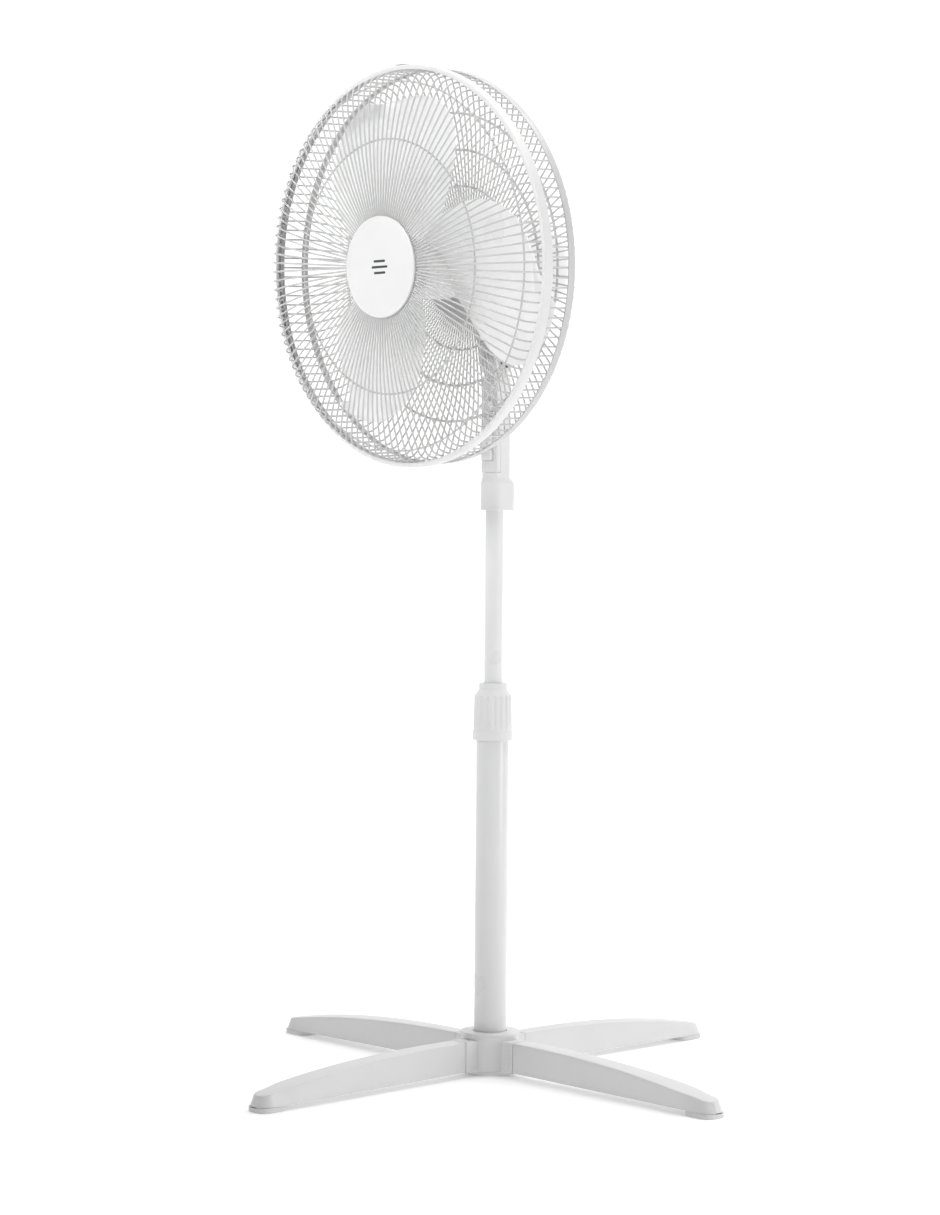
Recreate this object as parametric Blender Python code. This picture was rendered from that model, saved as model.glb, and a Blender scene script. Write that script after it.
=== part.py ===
"""Pedestal fan with a 16 inch guard on a cross base.

Metres, +Z up. The origin is on the floor under the pole. The fan blows towards -Y, the legs
lie along +-X and +-Y. Head pieces hang from three nested empties: the tilt axis (X), the swing
axis (upright in the tilted head) and the fan axis, whose local +Z points out of the fan's front.
"""
import math

import bmesh
import bpy

GAP = 0.0003                # clearance between touching pieces
RUN_GAP = 0.0003            # radial clearance of turning and sliding pieces

# ---- the sizes that others follow -----------------------------------------
LEG_REACH = 0.3414          # pole axis to leg tip
LOWER_POLE_TOP = 0.380
LOWER_POLE_RADIUS = 0.0180
UPPER_POLE_RADIUS = 0.0100
GUARD_RADIUS = 0.2150
MOTOR_RADIUS = 0.0460

# ---- cross base -----------------------------------------------------------
LEG_WIDTH = 0.0215          # at the hub
FOOT_WIDTH = 0.0320
LEG_ROOT_TOP = 0.0395
LEG_TIP_TOP = 0.0165
LEG_ROOT_BOTTOM = 0.0060
LEG_TIP_BOTTOM = 0.0055
LEG_ARCH = 2.4              # how late the top drops towards the tip
LEG_ROUND = 0.0025          # rounding of the top edges
LEG_TAPER = 1.1             # above 1 the leg has its full width before its tip
PAD_LENGTH = 0.038
PAD_WIDTH = 0.030
PAD_CORNER = 0.0148
PAD_INSET = 0.004           # pad centre behind the centre of the foot's round end
HUB_BOTTOM = 0.0055
HUB_PLATE = 0.004
HUB_WALL = 0.0145
HUB_RADIUS = LOWER_POLE_RADIUS + HUB_WALL
HUB_RIM_RADIUS = HUB_RADIUS + 0.0005
HUB_RIM_HEIGHT = 0.004
HUB_TOP = 0.047
SOCKET_REACH = HUB_RADIUS + 0.0150
SOCKET_WIDTH = LEG_WIDTH + 0.0030
SOCKET_TOP = 0.0400
SOCKET_WALL = 0.0030
SOCKET_EDGE = 0.0015
POLE_FLOOR = HUB_BOTTOM + HUB_PLATE * 2.0
TONGUE_START = LOWER_POLE_RADIUS + 0.0065
LEG_SCREW_REACH = SOCKET_REACH - 0.0120
LEG_SCREW_RADIUS = 0.0020
LEG_SCREW_HEAD = 0.0040
LEG_SCREW_LENGTH = 0.017
LEG_SCREW_HOLE_TOP = 0.024
BOLT_RADIUS = 0.0040
BOLT_HEAD = 0.0072
BOLT_HEAD_LOW = 0.0010
WASHER_RADIUS = 0.0110
WASHER_THICK = 0.0012
INSERT_HEIGHT = 0.020

# ---- poles and height collar -----------------------------------------------
LOWER_POLE_WALL = 0.0014
UPPER_POLE_WALL = 0.0012
POLE_OVERLAP = 0.160        # upper pole left inside the lower one
UPPER_POLE_BOTTOM = LOWER_POLE_TOP - POLE_OVERLAP
COLLAR_BOTTOM = LOWER_POLE_TOP - 0.008
COLLAR_HEIGHT = 0.063
COLLAR_TOP = COLLAR_BOTTOM + COLLAR_HEIGHT
COLLAR_RADIUS = LOWER_POLE_RADIUS + 0.0042
COLLAR_BAND = 0.0095        # height of the plain band at the collar's foot
COLLAR_BODY_RADIUS = COLLAR_RADIUS - 0.0007
COLLAR_CAP_RADIUS = UPPER_POLE_RADIUS + 0.0056
COLLAR_CAP_HEIGHT = 0.0075
COLLAR_ROOF = 0.0068        # thickness of the collar's top
COLLAR_FLUTES = 18
FLUTE_DEPTH = 0.0011
COLLET_DEPTH = 0.035
COLLET_SHOULDER = 0.004
COLLET_THREAD_RADIUS = (LOWER_POLE_RADIUS + UPPER_POLE_RADIUS) / 2.0 + 0.0010
COLLET_NOSE = 0.0016        # wall left at the collet's squeezed end

# ---- neck -------------------------------------------------------------------
NECK_BOTTOM = COLLAR_TOP + 0.192
NECK_SHOULDER = 0.007       # height over which the socket narrows to the neck
SOCKET_SECTION_TOP = NECK_BOTTOM + 0.037
POLE_STOP = SOCKET_SECTION_TOP - 0.0045
NECK_TOP = NECK_BOTTOM + 0.147
NECK_HALF_WIDTH = UPPER_POLE_RADIUS + 0.0025
NECK_FRONT = UPPER_POLE_RADIUS
NECK_REAR = UPPER_POLE_RADIUS + 0.0036
NECK_CORNER = 0.0055
NECK_SOCKET_HALF_WIDTH = UPPER_POLE_RADIUS + 0.0050
NECK_SOCKET_FRONT = UPPER_POLE_RADIUS + 0.0021
NECK_SOCKET_REAR = UPPER_POLE_RADIUS + 0.0105
NECK_SOCKET_CORNER = 0.0100
NECK_WALL = 0.0022
COVER_BOTTOM = SOCKET_SECTION_TOP + 0.005
COVER_TOP = NECK_TOP - 0.004
COVER_SEAM = 0.0036         # the cover's seam lies this far in front of the pole axis
CLAMP_SCREW_HEIGHT = NECK_BOTTOM + 0.023
CLAMP_SCREW_RADIUS = 0.0020
CLAMP_SCREW_HEAD = 0.0040
CLAMP_SCREW_KNOB = 0.0066   # length of its head
BUTTON_COUNT = 4
BUTTON_PITCH = 0.0180
BUTTON_LOWEST = COVER_BOTTOM + 0.019
BUTTON_HALF_WIDTH = 0.0070
BUTTON_HALF_HEIGHT = 0.0058
BUTTON_PROUD = 0.0050
BUTTON_TRAVEL = 0.0030
BUTTON_EDGE = 0.0008
BUTTON_FLANGE = 0.0012      # thickness and width of the rim that stops it falling out
SWITCH_HALF_WIDTH = 0.0092
SWITCH_PLAY = 0.0016
GLAND_HEIGHT = COVER_BOTTOM + 0.015
GLAND_RADIUS = 0.0048
GLAND_BORE = 0.0026
GLAND_LENGTH = 0.004
COVER_SCREW_RADIUS = 0.0014
COVER_SCREW_HEAD = 0.0026

# ---- tilt joint ---------------------------------------------------------------
TILT_HEIGHT = NECK_TOP + 0.016
REST_TILT = math.radians(2.8)    # the fan looks slightly down
TILT_EAR_RADIUS = 0.0125
TILT_TONGUE_HALF = NECK_HALF_WIDTH - 0.0037
TILT_EAR_THICK = 0.0046
TILT_BOLT_RADIUS = 0.0040
TILT_BOLT_HEAD = 0.0060
TILT_BOLT_HEAD_THICK = 0.0035
NUT_RADIUS = 0.0066
NUT_THICK = 0.0048

# ---- motor, along the fan axis from the swing axis ------------------------------
MOTOR_FACE = 0.0435
PLATE_FLANGE = 0.0225
PLATE_WALL = 0.0040
BOSS_NOSE = 0.0580
CORE_BACK = 0.0080
CORE_FRONT = 0.0300
CORE_RADIUS = MOTOR_RADIUS - 0.0050
CORE_BORE = CORE_RADIUS - 0.0220
ROTOR_RADIUS = CORE_BORE - RUN_GAP
WINDING_FRONT = 0.0080      # how far the windings stand out of the core
WINDING_REAR = 0.0060
WINDING_INSET = 0.004
WINDING_DRAFT = 0.002
REAR_PLATE_BACK = -0.0040
SHAFT_RADIUS = 0.0040
BUSH_RADIUS = 0.0080
BUSH_LENGTH = 0.0120
COVER_RADIUS = MOTOR_RADIUS + 0.0100
COVER_WALL = 0.0020
COVER_BACK = -0.0800
COVER_STRAIGHT = -0.0380
COVER_SHOULDER = 0.030      # radius of the flat at the cover's back
REAR_SCREW_LENGTH = 0.0140

# ---- heights in the tilted head, measured from the fan axis ---------------------
CRANK_DISC_TOP = -(COVER_RADIUS + 0.0030)
CRANK_DISC_THICK = 0.0030
CRANK_PIN_LENGTH = 0.0032
LINK_TOP = CRANK_DISC_TOP - CRANK_DISC_THICK - CRANK_PIN_LENGTH - GAP
LINK_THICK = 0.0020
PLATFORM_TOP = -(COVER_RADIUS + 0.0165)
AXIS_RISE = 0.0315 - PLATFORM_TOP   # tilt axis to fan axis
PLATFORM_THICK = 0.0060
PLATFORM_FRONT = 0.018
PLATFORM_BACK = 0.034
PLATFORM_HALF = 0.0150
PLATFORM_EDGE = 0.0015
PIVOT_RADIUS = 0.0050
PIVOT_HEAD_RADIUS = 0.0075
PIVOT_HEAD_THICK = 0.0030
PIVOT_TOP = -(MOTOR_RADIUS + 0.0035)
BOSS_RADIUS = 0.0096
BOSS_TOP = -(MOTOR_RADIUS + 0.0015)

# ---- gearbox and swing drive, beside and behind the motor ------------------------
GEAR_X = -0.0175            # wheel axis, to the side of the motor shaft
GEAR_Y = 0.0260             # wheel axis, behind the swing axis
GEARBOX_BACK = 0.0445
GEARBOX_FRONT = 0.0065
GEARBOX_HALF_HEIGHT = 0.0280
GEARBOX_WALL = 0.0035
GEARBOX_RIGHT = 0.0140
ARM_HALF_WIDTH = 0.0120     # the arm from the gearbox down to the swing boss
ARM_DEPTH = 0.0140
ARM_FOOT = 0.0110
ARM_FOOT_THICK = 0.0035
STALK_RADIUS = 0.0045       # the stalk that the cover is screwed to
WHEEL_RADIUS = 0.0138
WHEEL_TEETH = 24
WHEEL_TOOTH = 0.0011
WHEEL_HALF = 0.0035
WORM_RADIUS = 0.0034
WORM_REACH = 0.0100         # worm end beyond the wheel's axis
LID_THICK = 0.0020
CRANK_SHAFT_RADIUS = 0.0040
CRANK_DISC_RADIUS = 0.0165
CRANK_THROW = 0.0137
CRANK_PHASE = math.radians(205.5)   # where the pin stands at rest, round the wheel axis
CRANK_PIN_RADIUS = 0.0020
LINK_WIDTH = 0.0090
LINK_PIVOT_X = -0.0158
LINK_PIVOT_Y = -0.0076
LINK_SCREW_RADIUS = 0.0020
LINK_SCREW_LENGTH = 0.0100
LUG_RADIUS = 0.0060
LUG_INSET = 0.0006
KNOB_RADIUS = 0.0080
KNOB_BOTTOM = COVER_RADIUS + 0.0015
KNOB_HEIGHT = 0.0135
KNOB_STEM_RADIUS = 0.0030

# ---- guard, along the fan axis from the front edge of the trim band ----------------
BAND_FRONT = 0.1343         # swing axis to the front edge of the trim band
BAND_THICK = 0.0013
BAND_DEPTH = 0.0110
BAND_LIP = 0.0050
CLIP_HALF_WIDTH = 0.0060
CLIP_THICK = 0.0016
RIM_RADIUS = GUARD_RADIUS - 0.0030
WIRE = 0.0020
BAR_COUNT = 16
RING_HALF = 0.0010          # half width of a front ring
REAR_RING_HALF = 0.0020
FRONT_INNER_RING = GUARD_RADIUS * 0.631
FRONT_OUTER_RING = GUARD_RADIUS - 0.0183
REAR_OUTER_RING = GUARD_RADIUS * 0.7767
REAR_INNER_RING = GUARD_RADIUS * 0.5953
REAR_SHOULDER = GUARD_RADIUS - 0.0110
REAR_DISC_RADIUS = 0.0600
REAR_DISC_FLAT = 0.0480
BADGE_RADIUS = 0.0543
BADGE_FACE = 0.0352
BADGE_THICK = 0.0030
BADGE_EDGE = 0.0010
HOOP_FRONT = -0.0370
HOOP_BACK = -0.0460
GUARD_BACK = -0.0900
GUARD_CENTRE_RADIUS = 0.0170
NOSE_RADIUS = GUARD_CENTRE_RADIUS - 0.0012   # the motor's nose, which carries the rear guard
GUARD_NUT_RADIUS = 0.0260
GUARD_NUT_THICK = 0.0070

# ---- blade ---------------------------------------------------------------------------
BLADE_RADIUS = GUARD_RADIUS - 0.0250
BLADE_COUNT = 3
BLADE_THICK = 0.0018
BLADE_CAMBER = 0.006
BLADE_HUB_RADIUS = 0.0340
BLADE_HUB_WALL = 0.0025
BLADE_HUB_FRONT = -0.0040
BLADE_HUB_BACK = -0.0620
BLADE_BOSS_RADIUS = 0.0085
BLADE_BOSS_INSET = 0.012
BLADE_FRONT = -0.0100       # the trailing edge
BLADE_BACK = -0.0450        # the leading edge
SPINNER_RADIUS = 0.0160

STEPS = 24
ROD_PHASE = 0.37            # keeps a rod's edges off its neighbours' planes of symmetry


# ---- scene helpers -----------------------------------------------------------------
def clear_scene():
    for item in list(bpy.data.objects):
        bpy.data.objects.remove(item, do_unlink=True)


def material(name, colour, roughness, metallic=0.0):
    made = bpy.data.materials.new(name)
    made.use_nodes = True
    shader = made.node_tree.nodes["Principled BSDF"]
    shader.inputs["Base Color"].default_value = (*colour, 1.0)
    shader.inputs["Roughness"].default_value = roughness
    shader.inputs["Metallic"].default_value = metallic
    return made


def empty(name, location, rotation=(0.0, 0.0, 0.0), parent=None):
    made = bpy.data.objects.new(name, None)
    made.location = location
    made.rotation_euler = rotation
    made.parent = parent
    bpy.context.scene.collection.objects.link(made)
    return made


def placed(name, shape, look, location=(0.0, 0.0, 0.0), rotation=(0.0, 0.0, 0.0), parent=None):
    """Links a closed bmesh as one named object."""
    bmesh.ops.recalc_face_normals(shape, faces=shape.faces)
    mesh = bpy.data.meshes.new(name)
    shape.to_mesh(mesh)
    shape.free()
    mesh.shade_smooth()
    mesh.set_sharp_from_angle(angle=math.radians(35))
    made = bpy.data.objects.new(name, mesh)
    made.location = location
    made.rotation_euler = rotation
    made.parent = parent
    if look is not None:
        mesh.materials.append(look)
    bpy.context.scene.collection.objects.link(made)
    return made


def helper(name, shape, like, location=(0.0, 0.0, 0.0), rotation=(0.0, 0.0, 0.0)):
    """A cutter or an addition in the frame of the object it works on."""
    made = placed(name, shape, None, location, rotation, like.parent)
    made.hide_render = True
    made.display_type = "WIRE"
    return made


def boolean(target, tool, operation):
    modifier = target.modifiers.new(operation.lower() + "_" + tool.name, "BOOLEAN")
    modifier.operation = operation
    modifier.solver = "EXACT"
    modifier.object = tool


def cut(target, shape, location=(0.0, 0.0, 0.0), rotation=(0.0, 0.0, 0.0)):
    boolean(target, helper("cut_" + target.name, shape, target, location, rotation), "DIFFERENCE")


def add(target, shape, location=(0.0, 0.0, 0.0), rotation=(0.0, 0.0, 0.0)):
    boolean(target, helper("add_" + target.name, shape, target, location, rotation), "UNION")


# ---- shapes ------------------------------------------------------------------------
def turned(profile, steps=STEPS, radius_at=None, phase=0.0):
    """Revolves a closed outline of (radius, height) points round Z."""
    shape = bmesh.new()
    rings = []
    for row, (radius, height) in enumerate(profile):
        if radius == 0.0:
            rings.append([shape.verts.new((0.0, 0.0, height))])
            continue
        ring = []
        for step in range(steps):
            angle = 2.0 * math.pi * (step + phase) / steps
            reach = radius_at(row, step, radius) if radius_at else radius
            ring.append(shape.verts.new((reach * math.cos(angle), reach * math.sin(angle), height)))
        rings.append(ring)
    for index, ring in enumerate(rings):
        following = rings[(index + 1) % len(rings)]
        if len(ring) == 1 and len(following) == 1:
            continue
        for step in range(steps):
            after = (step + 1) % steps
            corners = [ring[step % len(ring)], ring[after % len(ring)],
                       following[after % len(following)], following[step % len(following)]]
            corners = [c for i, c in enumerate(corners) if c not in corners[:i]]
            shape.faces.new(corners)
    return shape


def hexagonal(rows, steps=24):
    """A radius rule for turned: these rows become a hexagon with its corners at the full radius."""
    def rule(row, step, radius):
        if row not in rows:
            return radius
        angle = (360.0 * step / steps) % 60.0 - 30.0
        return radius * math.cos(math.radians(30.0)) / math.cos(math.radians(angle))
    return rule


def rod(radius, low, high, steps=12):
    return turned([(0.0, low), (radius, low), (radius, high), (0.0, high)], steps, phase=ROD_PHASE)


def screw(radius, head, length, head_height, steps=10):
    """A round screw along Z: the head below z = 0, the shank above it."""
    return turned([(0.0, -head_height), (head * 0.7, -head_height), (head, -head_height * 0.6),
                   (head, 0.0), (radius, 0.0), (radius, length), (0.0, length)], steps)


def block(low, high, bevel=0.0, segments=2):
    shape = bmesh.new()
    bmesh.ops.create_cube(shape, size=1.0)
    for vert in shape.verts:
        for axis in range(3):
            middle = (low[axis] + high[axis]) / 2.0
            vert.co[axis] = middle + vert.co[axis] * (high[axis] - low[axis])
    if bevel:
        bmesh.ops.bevel(shape, geom=shape.edges[:], offset=bevel, segments=segments,
                        affect="EDGES", profile=0.5)
    return shape


def prism(outline, low, high):
    """An outline in XY drawn up from low to high."""
    shape = bmesh.new()
    rings = [[shape.verts.new((x, y, z)) for x, y in outline] for z in (low, high)]
    shape.faces.new(rings[0])
    shape.faces.new(rings[1])
    for i in range(len(outline)):
        j = (i + 1) % len(outline)
        shape.faces.new([rings[0][i], rings[0][j], rings[1][j], rings[1][i]])
    return shape


def lofted(rings):
    """Joins equal rings of points in order and closes both ends."""
    shape = bmesh.new()
    rows = [[shape.verts.new(point) for point in ring] for ring in rings]
    for first, second in zip(rows, rows[1:]):
        for i in range(len(first)):
            j = (i + 1) % len(first)
            shape.faces.new([first[i], first[j], second[j], second[i]])
    shape.faces.new(rows[0])
    shape.faces.new(rows[-1])
    return shape


def rounded_box(half, front, rear, corner, arc=3):
    """Outline from x = -half to half and y = -front to rear, with round corners."""
    centres = [(half - corner, rear - corner), (corner - half, rear - corner),
               (corner - half, corner - front), (half - corner, corner - front)]
    points = []
    for quarter, (x, y) in enumerate(centres):
        for step in range(arc + 1):
            angle = math.pi / 2.0 * (quarter + step / arc)
            points.append((x + corner * math.cos(angle), y + corner * math.sin(angle)))
    return points


# ---- materials -----------------------------------------------------------------------
def make_looks():
    return {
        "white": material("white_plastic", (0.86, 0.86, 0.86), 0.38),
        "paint": material("white_paint", (0.85, 0.85, 0.86), 0.28),
        "rubber": material("rubber", (0.30, 0.30, 0.31), 0.8),
        "steel": material("steel", (0.55, 0.55, 0.56), 0.35, 1.0),
        "dark": material("dark_steel", (0.06, 0.06, 0.065), 0.45, 0.8),
        "cast": material("cast_aluminium", (0.50, 0.51, 0.52), 0.55, 0.9),
        "core": material("core_steel", (0.28, 0.28, 0.29), 0.5, 0.9),
        "copper": material("copper_winding", (0.60, 0.30, 0.16), 0.4, 0.9),
        "bronze": material("bronze", (0.60, 0.44, 0.22), 0.4, 1.0),
        "black": material("black_plastic", (0.03, 0.03, 0.03), 0.5),
        "nylon": material("nylon", (0.75, 0.74, 0.68), 0.5),
        "grey": material("motor_grey", (0.22, 0.22, 0.23), 0.6, 0.3),
    }


# ---- cross base ------------------------------------------------------------------------
def make_hub(looks):
    boss = turned([(0.0, HUB_BOTTOM), (HUB_RADIUS, HUB_BOTTOM), (HUB_RADIUS, HUB_TOP - HUB_RIM_HEIGHT),
                   (HUB_RIM_RADIUS, HUB_TOP - HUB_RIM_HEIGHT), (HUB_RIM_RADIUS, HUB_TOP - 0.001),
                   (HUB_RIM_RADIUS - 0.001, HUB_TOP), (0.0, HUB_TOP)])
    hub = placed("base_hub", boss, looks["white"])
    half = SOCKET_WIDTH / 2.0
    arms = (((-SOCKET_REACH, -half), (SOCKET_REACH, half)), ((-half, -SOCKET_REACH), (half, SOCKET_REACH)))
    for low, high in arms:
        add(hub, block((*low, HUB_BOTTOM), (*high, SOCKET_TOP), SOCKET_EDGE))
    cut(hub, rod(LOWER_POLE_RADIUS + RUN_GAP, POLE_FLOOR, HUB_TOP + 0.01, STEPS))
    cut(hub, rod(BOLT_RADIUS + GAP, 0.0, POLE_FLOOR + 0.01))
    inner = LEG_WIDTH / 2.0 - SOCKET_WALL + RUN_GAP
    for turn in range(4):
        angle = turn * math.pi / 2.0
        cut(hub, block((TONGUE_START - GAP, -inner, HUB_BOTTOM + HUB_PLATE),
                       (SOCKET_REACH + 0.01, inner, SOCKET_TOP - SOCKET_WALL)), rotation=(0, 0, angle))
        cut(hub, rod(LEG_SCREW_RADIUS + GAP, 0.0, HUB_BOTTOM + HUB_PLATE + 0.001, 16),
            (LEG_SCREW_REACH * math.cos(angle), LEG_SCREW_REACH * math.sin(angle), 0.0))
    return hub


def leg_top(share):
    return LEG_ROOT_TOP - (LEG_ROOT_TOP - LEG_TIP_TOP) * share ** LEG_ARCH


def leg_bottom(share):
    return LEG_ROOT_BOTTOM + (LEG_TIP_BOTTOM - LEG_ROOT_BOTTOM) * share


def leg_half_width(reach):
    share = (reach - SOCKET_REACH) / (LEG_REACH - SOCKET_REACH)
    half = (LEG_WIDTH + (FOOT_WIDTH - LEG_WIDTH) * min(1.0, share * LEG_TAPER)) / 2.0
    centre = LEG_REACH - FOOT_WIDTH / 2.0
    if reach > centre:
        half = math.sqrt(max(0.0, (FOOT_WIDTH / 2.0) ** 2 - (reach - centre) ** 2))
    return max(half, 0.0030)


def make_leg_shape():
    """One leg along +X: a tongue for the hub, then the arched body with a round foot."""
    start = SOCKET_REACH + GAP
    straight = [start + (LEG_REACH - FOOT_WIDTH / 2.0 - start) * i / 9.0 for i in range(10)]
    centre = LEG_REACH - FOOT_WIDTH / 2.0
    bend = [centre + FOOT_WIDTH / 2.0 * math.sin(math.radians(a)) for a in (18, 36, 54, 70, 82)]
    rings = []
    for reach in straight + bend:
        share = (reach - start) / (LEG_REACH - start)
        half = leg_half_width(reach)
        low = leg_bottom(share)
        high = leg_top(share)
        soft = min(LEG_ROUND, half * 0.6)
        rings.append([(reach, -half, low), (reach, half, low), (reach, half, high - soft),
                      (reach, half - soft * 0.3, high - soft * 0.35), (reach, half - soft, high),
                      (reach, soft - half, high), (reach, soft * 0.3 - half, high - soft * 0.35),
                      (reach, -half, high - soft)])
    return lofted(rings)


def make_legs(looks):
    inner = LEG_WIDTH / 2.0 - SOCKET_WALL
    pad_reach = LEG_REACH - FOOT_WIDTH / 2.0 - PAD_INSET
    head_low = HUB_BOTTOM - GAP
    for turn, side in enumerate(("right", "back", "left", "front")):
        angle = turn * math.pi / 2.0
        spin = (0.0, 0.0, angle)
        leg = placed("leg_" + side, make_leg_shape(), looks["white"], rotation=spin)
        add(leg, block((TONGUE_START, -inner, HUB_BOTTOM + HUB_PLATE + GAP),
                       (SOCKET_REACH + 0.004, inner, SOCKET_TOP - SOCKET_WALL - GAP)), rotation=spin)
        reach = (LEG_SCREW_REACH * math.cos(angle), LEG_SCREW_REACH * math.sin(angle))
        cut(leg, rod(LEG_SCREW_RADIUS + GAP, 0.0, LEG_SCREW_HOLE_TOP, 16), (*reach, 0.0))
        placed("leg_screw_" + side, screw(LEG_SCREW_RADIUS, LEG_SCREW_HEAD, LEG_SCREW_LENGTH, 0.0024),
               looks["steel"], (*reach, head_low))
        outline = rounded_box(PAD_WIDTH / 2.0, PAD_LENGTH / 2.0, PAD_LENGTH / 2.0, PAD_CORNER, 4)
        placed("foot_pad_" + side, prism([(y, x) for x, y in outline], 0.0, LEG_TIP_BOTTOM - GAP),
               looks["rubber"], (pad_reach * math.cos(angle), pad_reach * math.sin(angle), 0.0), spin)


def make_base_fixings(looks):
    flange_top = HUB_BOTTOM - GAP
    hexagon = turned([(0.0, BOLT_HEAD_LOW), (BOLT_HEAD, BOLT_HEAD_LOW), (BOLT_HEAD, flange_top),
                      (0.0, flange_top)], 6)
    bolt = placed("base_bolt", hexagon, looks["steel"])
    add(bolt, rod(WASHER_RADIUS, flange_top - WASHER_THICK, flange_top))
    add(bolt, rod(BOLT_RADIUS, flange_top - WASHER_THICK / 2.0, POLE_FLOOR + INSERT_HEIGHT))
    bore = BOLT_RADIUS + GAP
    fit = LOWER_POLE_RADIUS - LOWER_POLE_WALL - GAP
    low = POLE_FLOOR + GAP
    high = POLE_FLOOR + INSERT_HEIGHT
    placed("pole_insert", turned([(bore, low), (fit, low), (fit, high), (bore, high)]), looks["steel"])


# ---- poles ---------------------------------------------------------------------------------
def tube(radius, wall, low, high, steps=STEPS):
    return turned([(radius - wall, low), (radius, low), (radius, high), (radius - wall, high)], steps)


def make_poles(looks):
    low = POLE_FLOOR + GAP
    placed("lower_pole", tube(LOWER_POLE_RADIUS, LOWER_POLE_WALL, low, LOWER_POLE_TOP), looks["paint"])
    placed("upper_pole", tube(UPPER_POLE_RADIUS, UPPER_POLE_WALL, UPPER_POLE_BOTTOM, POLE_STOP - GAP),
           looks["paint"])
    bore = UPPER_POLE_RADIUS + RUN_GAP
    fit = LOWER_POLE_RADIUS - LOWER_POLE_WALL - GAP
    rest = LOWER_POLE_TOP + GAP
    shoulder = rest + COLLET_SHOULDER
    top = COLLAR_TOP - COLLAR_ROOF - GAP
    low = LOWER_POLE_TOP - COLLET_DEPTH
    placed("pole_collet", turned([(bore, low), (fit, low), (fit, rest), (LOWER_POLE_RADIUS, rest),
                                  (LOWER_POLE_RADIUS, shoulder), (COLLET_THREAD_RADIUS, shoulder),
                                  (COLLET_THREAD_RADIUS, top - 0.004), (bore + COLLET_NOSE, top),
                                  (bore, top)]), looks["nylon"])


def make_collar(looks):
    skirt = LOWER_POLE_RADIUS + RUN_GAP
    thread = COLLET_THREAD_RADIUS + RUN_GAP
    ledge = LOWER_POLE_TOP + COLLET_SHOULDER + GAP * 2.0
    top = COLLAR_TOP
    bore = UPPER_POLE_RADIUS + RUN_GAP
    body = COLLAR_BODY_RADIUS
    cap = COLLAR_CAP_RADIUS
    roof = top - COLLAR_ROOF
    profile = [(skirt, COLLAR_BOTTOM), (COLLAR_RADIUS, COLLAR_BOTTOM),
               (COLLAR_RADIUS, COLLAR_BOTTOM + COLLAR_BAND), (body, COLLAR_BOTTOM + COLLAR_BAND + 0.001),
               (body - 0.0008, top - COLLAR_CAP_HEIGHT * 2.0 + 0.0005),
               (body - 0.0018, top - COLLAR_CAP_HEIGHT * 2.0 + 0.0025), (cap, top - COLLAR_CAP_HEIGHT),
               (cap, top - 0.0005), (cap - 0.0006, top), (bore, top), (bore, roof), (thread, roof),
               (thread, ledge), (skirt, ledge)]
    fluted = (3, 4)

    def fluting(row, step, radius):
        return radius - FLUTE_DEPTH if row in fluted and step % 2 else radius

    placed("height_collar", turned(profile, COLLAR_FLUTES * 2, fluting), looks["white"])


# ---- neck ---------------------------------------------------------------------------------
def make_neck(looks):
    section = rounded_box(NECK_HALF_WIDTH, NECK_FRONT, NECK_REAR, NECK_CORNER)
    socket = rounded_box(NECK_SOCKET_HALF_WIDTH, NECK_SOCKET_FRONT, NECK_SOCKET_REAR, NECK_SOCKET_CORNER)
    heights = [(socket, NECK_BOTTOM), (socket, SOCKET_SECTION_TOP - NECK_SHOULDER),
               (section, SOCKET_SECTION_TOP), (section, NECK_TOP)]
    rings = [[(x, y, z) for x, y in ring] for ring, z in heights]
    body = placed("neck_body", lofted(rings), looks["white"])
    tongue_low = NECK_TOP - 0.002
    add(body, block((-TILT_TONGUE_HALF, -TILT_EAR_RADIUS * 0.75, tongue_low),
                    (TILT_TONGUE_HALF, TILT_EAR_RADIUS * 0.75, TILT_HEIGHT)))
    add(body, rod(TILT_EAR_RADIUS * 0.8, -TILT_TONGUE_HALF, TILT_TONGUE_HALF, 24),
        (0, 0, TILT_HEIGHT), (0, math.pi / 2, 0))
    wide = NECK_HALF_WIDTH + 0.01
    cut(body, block((-wide, -0.03, COVER_BOTTOM - GAP), (wide, -COVER_SEAM + GAP, COVER_TOP + GAP)))
    room = NECK_HALF_WIDTH - NECK_WALL
    cut(body, block((-room, -0.03, COVER_BOTTOM + 0.003), (room, NECK_REAR - NECK_WALL, COVER_TOP - 0.004)))
    cut(body, rod(UPPER_POLE_RADIUS + GAP, NECK_BOTTOM - 0.01, POLE_STOP, STEPS))
    cut(body, rod(TILT_BOLT_RADIUS + RUN_GAP, -0.03, 0.03), (0, 0, TILT_HEIGHT), (0, math.pi / 2, 0))
    cut(body, rod(CLAMP_SCREW_RADIUS + RUN_GAP, 0.0, 0.02, 16),
        (0, NECK_SOCKET_REAR + 0.004, CLAMP_SCREW_HEIGHT), (math.pi / 2, 0, 0))
    cut(body, rod(GLAND_RADIUS + GAP, -0.006, 0.006), (0, NECK_REAR, GLAND_HEIGHT), (math.pi / 2, 0, 0))
    for height in cover_screw_heights():
        cut(body, rod(COVER_SCREW_RADIUS + GAP, -0.006, 0.006, 12), (0, NECK_REAR, height),
            (math.pi / 2, 0, 0))
    make_neck_cover(looks, section)
    make_neck_fittings(looks)


def cover_screw_heights():
    return (GLAND_HEIGHT + 0.020, COVER_TOP - 0.012)


def button_heights():
    return [BUTTON_LOWEST + BUTTON_PITCH * i for i in range(BUTTON_COUNT)]


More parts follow.
